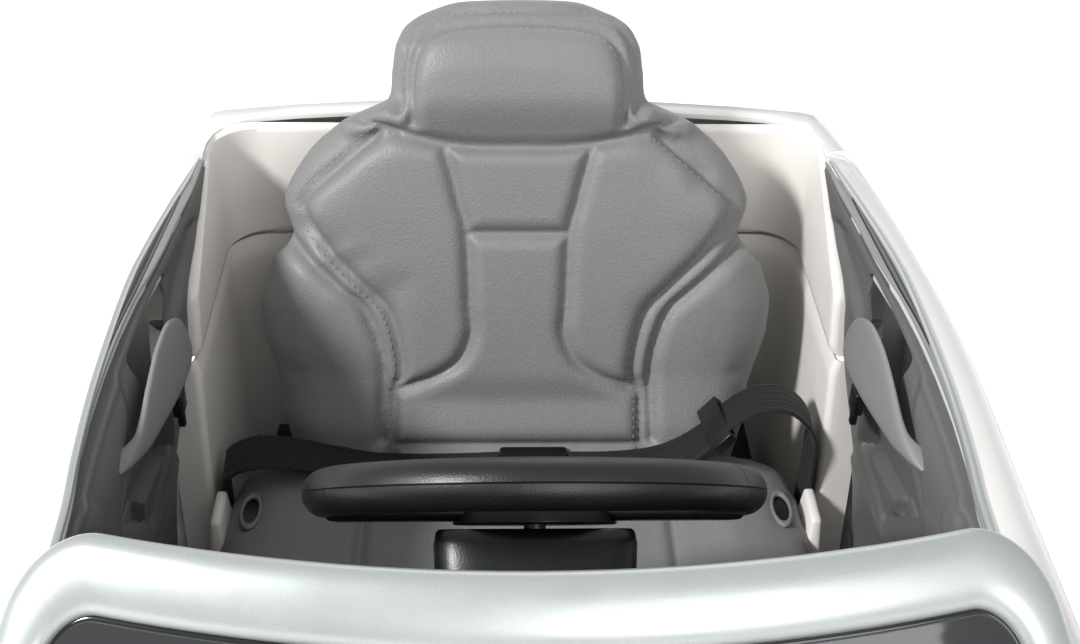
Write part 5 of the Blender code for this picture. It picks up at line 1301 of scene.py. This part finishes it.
BELT_EDGE = [(-0.245, 0.250), (-0.041, 0.255), (0.005, 0.259), (0.060, 0.2625), (0.115, 0.264),
             (0.190, 0.264), (0.240, 0.260), (0.290, 0.254), (0.352, 0.246), (0.425, 0.239)]
STRIP_FRONT = -0.209
STRIP_REAR = 0.356
BELT_HEIGHT = [(-0.280, 0.423), (-0.215, 0.439), (0.020, 0.448), (0.240, 0.445), (0.435, 0.440)]


def door_rear(z):
    """Where the door's rear edge stands at height z."""
    for (z0, y0), (z1, y1) in zip(DOOR_EDGE, DOOR_EDGE[1:]):
        if z <= z1:
            return y0 + (y1 - y0) * (z - z0) / (z1 - z0)
    return DOOR_EDGE[-1][1]


def to_edge(points, y, z):
    """Distance from a point to an outline, positive inside it."""
    best = 1.0
    inside = False
    for (y0, z0), (y1, z1) in zip(points, points[1:] + points[:1]):
        run_y, run_z = y1 - y0, z1 - z0
        share = min(max(((y - y0) * run_y + (z - z0) * run_z) / (run_y ** 2 + run_z ** 2), 0.0), 1.0)
        best = min(best, math.hypot(y - y0 - share * run_y, z - z0 - share * run_z))
        if (z0 > z) != (z1 > z) and y < y0 + run_y * (z - z0) / run_z:
            inside = not inside
    return best if inside else -best


def panel_plain(y, z):
    """The panel's face without its relief."""
    top = through(PANEL_TOP, y)
    face = PANEL_FACE + [(0.404, max(min(0.2400, top - 0.0035), 0.2375)),
                         (0.424, max(min(0.2440, top - 0.0035), 0.2375)), (PANEL_TOP_Z + 0.004, top)]
    return through(face, z)


def panel_relief(y, z):
    """How much deeper than its plain face the panel lies."""
    behind_crease = to_edge(CREASE + [(0.420, 0.262), (0.420, 0.460)], y, z)
    deep = CREASE_DEPTH * smooth_step(behind_crease, -0.0015, 0.0060)
    deep += REAR_RECESS_DEPTH * smooth_step(to_edge(REAR_RECESS, y, z), -0.001, 0.009)
    recess = to_edge(LOW_RECESS, y, z)
    ledge = smooth_step(to_edge(LOW_LEDGE, y, z), -0.002, 0.003)
    deep += LOW_RECESS_DEPTH * smooth_step(recess, -0.001, 0.007) * (1 - 0.75 * ledge)
    if -0.030 < recess < 0.0:
        deep -= 0.0008 * math.exp(-((recess + 0.004) / 0.003) ** 2)
    for (at_y, at_z), radius, rise in (((-0.022, 0.424), 0.014, 0.003), ((0.0933, 0.4285), 0.0032, -0.0016)):
        away = math.hypot(y - at_y, z - at_z)
        deep -= rise * (1 - smooth_step(away, radius * 0.55, radius))
    return deep


def door_panel():
    """Left door's moulded panel: a grid laid on its face, pressed, rolled over its top and made thick."""
    across, upward, rolled = 190, 100, 6
    deselect()
    bpy.ops.mesh.primitive_grid_add(x_subdivisions=across, y_subdivisions=upward + rolled, size=1.0)
    panel = settle(bpy.context.object, "door_panel_left_moulding")
    for vert in panel.data.vertices:
        share = vert.co.x + 0.5
        row = round((vert.co.y + 0.5) * (upward + rolled))
        z = PANEL_LOW_Z + (PANEL_TOP_Z - PANEL_ROUND - PANEL_LOW_Z) * min(row / upward, 1.0)
        y = DOOR_FRONT + (door_rear(z) - DOOR_INSET - DOOR_FRONT) * share
        x = panel_plain(y, z) + panel_relief(y, z)
        if row > upward:
            turn = math.pi / 2 * min((row - upward) / (rolled - 1), 1.0)
            x += PANEL_ROUND * (1 - math.cos(turn))
            z += PANEL_ROUND * math.sin(turn)
            if row == upward + rolled:
                x = through(PANEL_TOP, y) + 0.0038
        vert.co = Vector((x, y, z))
    apply_modifier(panel, "SOLIDIFY", thickness=PANEL_SHEET,
                   offset=1.0 if panel.data.polygons[0].normal.x > 0 else -1.0)
    (y0, z0), (y1, z1) = OPENING
    cutter = block("opening_cutter", (0.20, y0, z0), (0.30, y1, z1), 0.009, 5)
    apply_modifier(panel, "BOOLEAN", operation="DIFFERENCE", object=cutter, solver="EXACT")
    bpy.data.objects.remove(cutter)
    return panel


def pull_handle():
    """Leaf-shaped handle whose two ends run into the panel."""
    spans = [[(row[0], row[index]) for row in reversed(HANDLE_ROWS)] for index in (1, 2, 3)]
    rings = []
    for step in range(49):
        y = 0.030 + 0.182 * step / 48
        low, high, face = (through(span, y) for span in spans)
        middle, half = (low + high) / 2, (high - low) / 2
        end = 1 - smooth_step(y, 0.030, 0.058) + smooth_step(y, 0.192, 0.212)
        back = face + HANDLE_T + 0.014 * end
        ring = []
        for turn in range(28):
            angle = 2 * math.pi * turn / 28
            wide = squarish(math.cos(angle), 0.62)
            up = half * squarish(math.sin(angle), 0.85)
            ring.append(Vector(((face + back) / 2 - wide * (back - face) / 2 + HANDLE_TILT * up, y,
                                middle + up)))
        rings.append(ring)
    return skinned("pull_handle_left_leaf", rings)


def edge_strip(name, inner, outer, rear, front, drop, rise, steps=64):
    """A rounded strip along the door's top edge, between two curves."""
    rings = []
    for step in range(steps + 1):
        y = front + (rear - front) * step / steps
        taper = smooth_step(step, -1, 5) * smooth_step(steps - step, -1, 5)
        base = through(BELT_HEIGHT, y)
        x0, x1 = inner(y), outer(y)
        middle = (x0 + x1) / 2
        half = (x1 - x0) / 2 * (0.25 + 0.75 * taper)
        ring = []
        for turn in range(14):
            angle = 2 * math.pi * turn / 14
            wide = half * squarish(math.cos(angle), 0.7)
            up = squarish(math.sin(angle), 0.7)
            ring.append(Vector((middle + wide, y, base + (rise * up if up > 0 else drop * up))))
        rings.append(ring)
    return skinned(name, rings)


def release_lever():
    """Release lever: a wedge with a ribbed pad, its tail and the stub it turns on."""
    y, z = LATCH
    face = LEVER_FACE_X
    pad = block("release_lever_left_pad", (face - 0.007, y - 0.009, z - 0.008), (face, y + 0.007, z + 0.011),
                0.0018)
    tail = block("lever_tail", (face - 0.006, y - 0.004, z - 0.020), (face - 0.0012, y + 0.002, z), 0.0012)
    stub = rod("lever_stub", (face - 0.003, y, z), (0.268, y, z), 0.0035, 24)
    ribs = []
    for step in range(4):
        at = z - 0.003 + 0.0035 * step
        ribs.append(block("lever_rib", (face - 0.0076, y - 0.0065, at - 0.0006),
                          (face - 0.006, y + 0.0045, at + 0.0006), 0.0004, 2))
    return merged("release_lever_left_lever", pad, tail, stub, *ribs)


class RIDEON_OT_doors(bpy.types.Operator):
    """Door panels, pull handles, release levers and top strips on both sides"""
    bl_idname = "rideon.doors"
    bl_label = "Doors"

    def execute(self, context):
        def belt(y):
            return through(BELT_EDGE, y)
        panel = door_panel()
        peg = block("panel_peg_left", (0.2480, 0.034, 0.3535), (0.2600, 0.060, 0.3675), 0.002)
        screws = []
        for y, z in ((-0.180, 0.190), (-0.180, 0.395), (0.165, 0.185), (0.070, 0.180)):
            x = panel_plain(y, z)
            screws.append(rod("panel_screw", (x - 0.0016, y, z), (x + 0.003, y, z), 0.0042, 20, 0.0008))
        screws = merged("panel_screws_left", *screws)
        gloss = edge_strip("door_gloss_strip_left", lambda y: through(GLOSS_INNER, y),
                           lambda y: through(GLOSS_OUTER, y) - 0.0002, 0.299, 0.009, 0.0006, 0.0024)
        trim = edge_strip("door_trim_left_strip", lambda y: belt(y) - 0.0052, belt, STRIP_REAR, STRIP_FRONT,
                          0.0012, 0.0030)
        band = edge_strip("door_top_band_left", lambda y: through(PANEL_TOP, y) + 0.0004,
                          lambda y: belt(y) - 0.0044, STRIP_REAR, STRIP_FRONT, 0.0008, 0.0014)
        made = [(panel, "grey_plastic", "grey_plastic", "door_panel", 38.0),
                (band, "handle_grey", "grey_plastic", None, 50.0),
                (pull_handle(), "handle_grey", "grey_plastic", "pull_handle", 50.0),
                (release_lever(), "black_plastic", "black_plastic", "release_lever", 35.0),
                (trim, "silver_paint", "silver_paint", "door_trim", 50.0),
                (gloss, "gloss_black", "black_plastic", None, 50.0),
                (peg, "grey_plastic", "grey_plastic", None, 40.0), (screws, "steel", "steel", None, 40.0)]
        for obj, finish, slot, node, degrees in made:
            for side in ("left", "right"):
                work = obj if side == "left" else other_side(obj, obj.name.replace("left", "right"))
                body = carrier_of(node + "_" + side) if node else carrier_of("door_panel_" + side)
                finish_piece(work, body, finish, (node + "_" + side,) if node else (), degrees)
        return {"FINISHED"}


# The walls beside the seat

LINER_STEP_Z = 0.338
LINER_FACE = [(0.080, 0.2292), (0.160, 0.2312), (0.250, 0.2347), (0.333, 0.2370)]
LINER_UPPER = [(0.338, 0.2358), (0.385, 0.2356), (0.411, 0.2372), (0.434, 0.2400), (0.442, 0.2420)]
LINER_BACK_Y = 0.4165
LINER_ROUND = 0.036


def liner_sheet(name, low, high, face, lead):
    """One moulded wall: from its front edge along the side and round the corner to the car's middle."""
    upward = 26
    rings = []
    for row in range(upward + 1):
        z = low + (high - low) * row / upward
        edge = min(z - low, high - z)
        soft = 0.0032 * (1 - smooth_step(edge, 0.0, 0.0045)) ** 2
        x = through(face, z) + soft
        front = min(door_rear(z), 0.366) + lead
        rear = LINER_BACK_Y + soft
        path = [(x + 0.0260, front + 0.0012), (x + 0.0120, front + 0.0006)]
        for step in range(8):
            angle = math.pi / 2 * step / 7
            path.append((x + 0.006 * (1 - math.sin(angle)), front + 0.006 * (1 - math.cos(angle))))
        start = path[-1][1]
        for step in range(1, 13):
            path.append((x, start + (rear - LINER_ROUND - start) * step / 13))
        for step in range(13):
            angle = math.pi / 2 * step / 12
            path.append((x - LINER_ROUND * (1 - math.cos(angle)), rear - LINER_ROUND * (1 - math.sin(angle))))
        for step in range(1, 9):
            path.append(((x - LINER_ROUND) * (1 - step / 8) + 0.0035 * step / 8, rear))
        rings.append(path)
    inner = [[Vector((px, py, low + (high - low) * row / upward)) for px, py in path]
             for row, path in enumerate(rings)]
    made = bpy.data.meshes.new(name)
    width = len(inner[0])
    verts = [point for ring in inner for point in ring]
    faces = []
    for row in range(upward):
        for index in range(width - 1):
            at = row * width + index
            faces.append((at, at + 1, at + width + 1, at + width))
    made.from_pydata(verts, [], faces)
    wall = linked(name, made)
    outward = 1.0 if wall.data.polygons[width * 5 + 14].normal.x > 0 else -1.0
    return apply_modifier(wall, "SOLIDIFY", thickness=0.0020, offset=outward)


def liner_wedge():
    """Wedge-shaped foot block at the wall's front end."""
    wedge = block("liner_wedge", (0.2130, 0.144, 0.152), (0.2310, 0.212, 0.238))
    edit(wedge)
    choose(wedge, "FACE", lambda face: face.normal.z > 0.9)
    bpy.ops.transform.resize(value=(0.45, 0.55, 1.0))
    bpy.ops.transform.translate(value=(0.0045, 0.012, 0.0))
    leave_edit()
    return rounded(wedge, 0.003, 3)


class RIDEON_OT_liners(bpy.types.Operator):
    """White walls beside and behind the seat, with their seam, step and wedge blocks"""
    bl_idname = "rideon.liners"
    bl_label = "Seat liners"

    def execute(self, context):
        low = liner_sheet("seat_liner_left_low_wall", 0.080, LINER_STEP_Z - 0.0022, LINER_FACE, 0.0045)
        high = liner_sheet("seat_liner_left_high_wall", LINER_STEP_Z + 0.0004, 0.4415, LINER_UPPER, 0.0075)
        for obj, node in ((low, "seat_liner"), (high, "seat_liner"), (liner_wedge(), None)):
            for side in ("left", "right"):
                work = obj if side == "left" else other_side(obj, obj.name.replace("left", "right") + "_r")
                nodes = (node + "_" + side,) if node else ()
                finish_piece(work, "car", "liner_plastic", nodes, 40.0)
        return {"FINISHED"}


# Road wheels

TREAD_STEPS = 192
TYRE_SECTION = [(0.068, 0.0235), (0.0705, 0.0262), (0.076, 0.0272), (0.082, 0.0278), (0.0885, 0.0280),
                (0.0935, 0.0276), (0.0975, 0.0266), (0.1000, 0.0240), (0.1022, 0.0215), (0.1034, 0.0180),
                (0.1042, 0.0140), (0.1047, 0.0100), (0.1049, 0.0060), (0.1050, 0.0025), (0.1050, 0.0)]
TREAD_FROM = 0.0995
LUG_COUNT = 32


def tyre(name):
    """Tyre round the X axis: blocks across the tread, a bead and rings pressed into its wall."""
    half = [(r, w) for r, w in TYRE_SECTION]
    section = half + [(r, -w) for r, w in reversed(half[:-1])]
    inner = [(0.0665, -0.0215), (0.0655, 0.0), (0.0665, 0.0215)]
    section = section + inner
    depth = sizes().tread_depth
    rings = []
    for step in range(TREAD_STEPS):
        angle = 2 * math.pi * step / TREAD_STEPS
        ring = []
        for radius, wide in section:
            if radius > TREAD_FROM:
                side = 1 if wide >= 0 else -1
                turn = (angle * LUG_COUNT / (2 * math.pi) + abs(wide) * 26 + (0.5 if side < 0 else 0.0)) % 1.0
                groove = turn < 0.28 and abs(wide) > 0.004
                channel = 0.0030 > abs(wide) - 0.0080 > -0.0012
                if groove or channel:
                    radius -= depth * (0.55 if channel and not groove else 1.0)
            elif 0.079 < radius < 0.094:
                wide += math.copysign(0.0006 * math.sin((radius - 0.079) * 900), wide)
            ring.append(Vector((wide, radius * math.sin(angle), radius * math.cos(angle))))
        rings.append(ring)
    return skinned(name, rings, closed=True)


CAP_REACH = 0.030
BOLT_COUNT = 5
BOLT_RING = 0.0225


def rim_details(name, node, side, centre):
    """Cap and five bolts on the rim's outer face."""
    rim = frame["nodes"][node]
    middle = Vector((0.0, centre.y, centre.z))
    face = max(abs((rim.matrix_world @ vert.co).x) for vert in rim.data.vertices
               if (Vector((0.0, vert.co.y, vert.co.z)) - middle).length < CAP_REACH)
    pieces = [rod(name + "_cap", (face - 0.004, centre.y, centre.z), (face + 0.0022, centre.y, centre.z),
                  0.0150, 48, 0.0012)]
    for step in range(BOLT_COUNT):
        angle = 2 * math.pi * (step + 0.5) / BOLT_COUNT
        y, z = centre.y + BOLT_RING * math.sin(angle), centre.z + BOLT_RING * math.cos(angle)
        pieces.append(rod(name + "_bolt", (face - 0.006, y, z), (face + 0.0012, y, z), 0.0030, 6, 0.0004))
    made = merged(name, *pieces)
    if side < 0:
        made.data.transform(MIRROR)
        made.data.flip_normals()
    return made


class RIDEON_OT_wheels(bpy.types.Operator):
    """Treaded tyres with caps and bolts on the rims"""
    bl_idname = "rideon.wheels"
    bl_label = "Road wheels"

    def execute(self, context):
        pattern = tyre("tyre_pattern")
        for end in ("front", "rear"):
            for label, side in SIDES:
                node = "tyre_%s_%s" % (end, label)
                low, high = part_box(node)
                centre = (Vector(low) + Vector(high)) / 2
                made = linked(node + "_treaded", pattern.data.copy())
                made.location = centre
                settle(made)
                finish_piece(made, carrier_of(node), "tyre_rubber", (node,), 42.0)
                rim = "rim_%s_%s" % (end, label)
                details = rim_details("wheel_cap_%s_%s" % (end, label), rim, side, centre)
                finish_piece(details, carrier_of(rim), "steel", (), 35.0)
        bpy.data.objects.remove(pattern)
        return {"FINISHED"}


# Nose, tail and outer body details

def lying_on(tree, x, z, from_y):
    """Where a level line from in front or behind meets the body, and which way the body faces there."""
    start = Vector((x, from_y, z))
    hit, normal, _, _ = tree.ray_cast(start, Vector((0.0, -math.copysign(1.0, from_y), 0.0)))
    if hit is None:
        raise RuntimeError("nothing to lie on at %.3f %.3f" % (x, z))
    return hit, normal


def tree_of(*nodes):
    """Ray-casting tree over some CAD nodes."""
    points, faces = [], []
    for node in nodes:
        mesh = frame["nodes"][node].data
        start = len(points)
        points += [vert.co.copy() for vert in mesh.vertices]
        faces += [[start + corner for corner in face.vertices] for face in mesh.polygons]
    return BVHTree.FromPolygons(points, faces)


def grille_slats():
    """Slats across the grille, each following its face."""
    tree = tree_of("grille")
    low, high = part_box("grille")
    rows = []
    for row in range(5):
        z = low[2] + 0.012 + (high[2] - low[2] - 0.024) * row / 4
        rings = []
        for step in range(31):
            x = (low[0] + 0.006) + (high[0] - low[0] - 0.012) * step / 30
            hit, normal = lying_on(tree, x, z, -0.9)
            ring = []
            for turn in range(10):
                angle = 2 * math.pi * turn / 10
                ring.append(hit + normal * (0.0022 * math.sin(angle) + 0.0002)
                            + Vector((0, 0, 0.0030 * math.cos(angle))))
            rings.append(ring)
        rows.append(skinned("grille_slat", rings))
    return merged("grille_slats", *rows)


def lamp_insides(name, node, from_y, places, radius):
    """A ring round each lamp of a lens."""
    tree = tree_of(node)
    pieces = []
    for x, z in places:
        hit, normal = lying_on(tree, x, z, from_y)
        pieces.append(rod(name + "_ring", hit - normal * 0.0030, hit + normal * 0.0014, radius, 40, 0.0008))
    return merged(name, *pieces)


def lamp_domes(name, node, from_y, places, radius):
    """A dome at each lamp of a lens."""
    tree = tree_of(node)
    pieces = []
    for x, z in places:
        hit, normal = lying_on(tree, x, z, from_y)
        deselect()
        bpy.ops.mesh.primitive_uv_sphere_add(segments=28, ring_count=14, radius=radius)
        dome = bpy.context.object
        dome.scale = (1.0, 1.0, 0.42)
        settle(dome)
        pieces.append(placed(dome, Matrix.Translation(hit + normal * 0.0008) @ turn_to(normal)))
    return merged(name, *pieces)


class RIDEON_OT_ends(bpy.types.Operator):
    """Grille slats, lamps, outer door handles and mirror glasses"""
    bl_idname = "rideon.ends"
    bl_label = "Nose and tail"

    def execute(self, context):
        finish_piece(grille_slats(), "car", "gloss_black", (), 50.0)
        for label, side in SIDES:
            places = [(side * x, 0.290) for x in (0.150, 0.182)]
            finish_piece(lamp_insides("headlamp_rings_" + label, "headlamp_" + label, -0.9, places, 0.0132),
                         "car", "silver_paint", (), 40.0)
            finish_piece(lamp_domes("headlamp_domes_" + label, "headlamp_" + label, -0.9, places, 0.0098),
                         "car", "tinted_glass", (), 60.0)
            places = [(side * x, 0.298) for x in (0.135, 0.165, 0.195)]
            finish_piece(lamp_domes("tail_lamp_domes_" + label, "tail_lamp_" + label, 0.9, places, 0.0105),
                         "car", "red_lens", (), 60.0)
            shell = tree_of("door_shell_" + label)
            y, z = 0.222, 0.372
            hit, normal, _, _ = shell.ray_cast(Vector((side * 0.6, y, z)), Vector((-side, 0.0, 0.0)))
            turn = facing(normal, Vector((0.0, 1.0, 0.0)))
            place = Matrix.Translation(hit) @ turn
            # Painted shade: a gloss black plate, not a recess, stands where the outer handle's recess lies in
            # shade
            shade_plate = placed(block("outer_bowl", (-0.030, -0.011, -0.004), (0.030, 0.011, 0.0010), 0.0016),
                          place)
            flap = placed(block("outer_flap", (-0.027, -0.0035, 0.0005), (0.024, 0.0095, 0.0058), 0.0022, 4),
                          place)
            shade_plate = merged("outer_handle_shade_plate_" + label, shade_plate)
            flap = merged("outer_handle_flap_" + label, flap)
            carrier = carrier_of("door_shell_" + label)
            finish_piece(shade_plate, carrier, "gloss_black", (), 40.0)
            finish_piece(flap, carrier, "black_plastic", (), 40.0)
            middle_x = side * 0.318
            glass = block("mirror_glass_" + label, (middle_x - 0.0285, -0.1555, 0.452),
                          (middle_x + 0.0285, -0.1525, 0.488), 0.0014, 3)
            finish_piece(glass, carrier_of("mirror_" + label), "mirror_glass", (), 40.0)
        return {"FINISHED"}


# Dashboard, lever, pedal and what lies under the car

DASH_FACE_Y = -0.1395
GAUGE_PLACES = ((-0.078, 0.3830), (0.084, 0.3830))
BUTTON_XS = (0.120, 0.142, 0.164, 0.186)


def gauge(name, x, z):
    """Round gauge in the dashboard's rear face: a ring, a dial and its needle, without figures."""
    tilt = Vector((0.0, 1.0, 0.10))
    face = Vector((x, DASH_FACE_Y, z))
    out = tilt.normalized()
    ring = rod(name + "_ring", face - out * 0.004, face + out * 0.0035, 0.0205, 56, 0.0012)
    edit(ring)
    choose(ring, "FACE", lambda item: item.normal.dot(out) > 0.95 and len(item.verts) > 20)
    bpy.ops.mesh.inset(thickness=0.0022)
    bpy.ops.mesh.extrude_region_move(TRANSFORM_OT_translate={"value": tuple(out * -0.0022)})
    leave_edit()
    needle = block(name + "_needle", face + Vector((-0.0007, 0.0016, -0.002)),
                   face + Vector((0.0007, 0.0026, 0.0135)), 0.0003, 2)
    boss = rod(name + "_boss", face, face + out * 0.0032, 0.0030, 20, 0.0006)
    return ring, merged(name + "_needle", needle, boss)


class RIDEON_OT_cabin(bpy.types.Operator):
    """Gauges and buttons on the dashboard, lever knob and pedal ribs"""
    bl_idname = "rideon.cabin"
    bl_label = "Dashboard details"

    def execute(self, context):
        for index, (x, z) in enumerate(GAUGE_PLACES):
            ring, needle = gauge("gauge_%d" % (index + 1), x, z)
            finish_piece(ring, "car", "gloss_black", (), 40.0)
            finish_piece(needle, "car", "silver_paint", (), 40.0)
        buttons = []
        for index, x in enumerate(BUTTON_XS):
            buttons.append(block("dash_button", (x - 0.008, DASH_FACE_Y - 0.004, 0.372),
                                 (x + 0.008, DASH_FACE_Y + 0.0030, 0.386), 0.0016, 3))
        finish_piece(merged("dashboard_buttons", *buttons), "car", "grey_plastic", (), 40.0)
        slots = []
        for step in range(7):
            z = 0.340 + 0.0045 * step
            slots.append(block("speaker_bar", (-0.030, -0.1530 + (z - 0.340) * 0.30, z),
                               (0.030, -0.1405 + (z - 0.340) * 0.10, z + 0.0016), 0.0005, 2))
        finish_piece(merged("speaker_bars", *slots), "car", "gloss_black", (), 40.0)
        low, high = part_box("accelerator_pedal")
        tree = tree_of("accelerator_pedal")
        ribs = []
        for step in range(6):
            share = 0.30 + 0.11 * step
            z = low[2] + (high[2] - low[2]) * share
            middle = (low[0] + high[0]) / 2
            hit, normal, _, _ = tree.ray_cast(Vector((middle, 0.2, z)), Vector((0.0, -1.0, 0.0)))
            if hit is None:
                continue
            turn = facing(normal, Vector((1.0, 0.0, 0.0)))
            rib = block("pedal_rib", (-0.020, -0.0014, -0.001), (0.020, 0.0014, 0.0016), 0.0006, 2)
            ribs.append(placed(rib, Matrix.Translation(hit) @ turn))
        finish_piece(merged("pedal_ribs", *ribs), carrier_of("accelerator_pedal"), "grey_plastic",
                     (), 40.0)
        low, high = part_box("drive_lever")
        deselect()
        bpy.ops.mesh.primitive_uv_sphere_add(segments=40, ring_count=24, radius=0.0118,
                                             location=((low[0] + high[0]) / 2, (low[1] + high[1]) / 2,
                                                       high[2] - 0.0085))
        knob = bpy.context.object
        knob.scale = (1.0, 1.0, 0.80)
        finish_piece(settle(knob, "drive_lever_knob"), carrier_of("drive_lever"), "gloss_black",
                     (), 60.0)
        return {"FINISHED"}


class RIDEON_OT_underside(bpy.types.Operator):
    """Ribs and screws under the tub, and the battery's terminals"""
    bl_idname = "rideon.underside"
    bl_label = "Underside"

    def execute(self, context):
        low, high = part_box("chassis_tub")
        ribs = []
        for step in range(7):
            y = -0.190 + 0.060 * step
            ribs.append(block("floor_rib", (-0.150, y - 0.0015, low[2] - 0.0040),
                              (0.150, y + 0.0015, low[2] + 0.0010), 0.0006, 2))
        for x in (-0.150, -0.075, 0.0, 0.075, 0.150):
            ribs.append(block("floor_rib", (x - 0.0015, -0.195, low[2] - 0.0040),
                              (x + 0.0015, 0.175, low[2] + 0.0010), 0.0006, 2))
        finish_piece(merged("floor_ribs", *ribs), "car", "black_plastic", (), 40.0)
        screws = []
        for side in (1, -1):
            for y in (-0.160, -0.040, 0.080, 0.160):
                screws.append(rod("floor_screw", (side * 0.168, y, low[2] - 0.0026),
                                  (side * 0.168, y, low[2] + 0.001), 0.0050, 20, 0.0008))
        finish_piece(merged("floor_screws", *screws), "car", "steel", (), 40.0)
        low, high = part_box("battery")
        caps = []
        for side in (1, -1):
            x = (low[0] + high[0]) / 2 + side * (high[0] - low[0]) * 0.30
            y = (low[1] + high[1]) / 2
            caps.append(block("battery_terminal", (x - 0.004, y - 0.003, high[2] - 0.002),
                              (x + 0.004, y + 0.003, high[2] + 0.0045), 0.0008, 2))
        finish_piece(merged("battery_terminals", *caps), "car", "steel", (), 40.0)
        return {"FINISHED"}


# The panel, the settings and the run

STEPS = (RIDEON_OT_stage, RIDEON_OT_node_finishes, RIDEON_OT_shells, RIDEON_OT_seat, RIDEON_OT_belts,
         RIDEON_OT_steering, RIDEON_OT_windscreen, RIDEON_OT_doors, RIDEON_OT_liners, RIDEON_OT_wheels,
         RIDEON_OT_ends, RIDEON_OT_cabin, RIDEON_OT_underside)


class RIDEON_PT_panel(bpy.types.Panel):
    """Lists the steps that build the car"""
    bl_idname = "RIDEON_PT_panel"
    bl_label = "Ride-on car"
    bl_space_type = "VIEW_3D"
    bl_region_type = "UI"
    bl_category = "Ride-on car"

    def draw(self, context):
        for step in STEPS:
            self.layout.operator(step.bl_idname)
        for group in (context.scene.ride_on_colours, context.scene.ride_on_sizes):
            for name in group.bl_rna.properties.keys():
                if name not in ("name", "rna_type"):
                    self.layout.prop(group, name)


CLASSES = (RideOnColours, RideOnSizes, *STEPS, RIDEON_PT_panel)


def register():
    for made in CLASSES:
        bpy.utils.register_class(made)
    bpy.types.Scene.ride_on_colours = bpy.props.PointerProperty(type=RideOnColours)
    bpy.types.Scene.ride_on_sizes = bpy.props.PointerProperty(type=RideOnSizes)


def unregister():
    del bpy.types.Scene.ride_on_sizes
    del bpy.types.Scene.ride_on_colours
    for made in reversed(CLASSES):
        bpy.utils.unregister_class(made)


def main():
    """Build everything in order."""
    register()
    for step in STEPS:
        group, name = step.bl_idname.split(".")
        getattr(getattr(bpy.ops, group), name)()
    deselect()


if __name__ == "__main__":
    main()
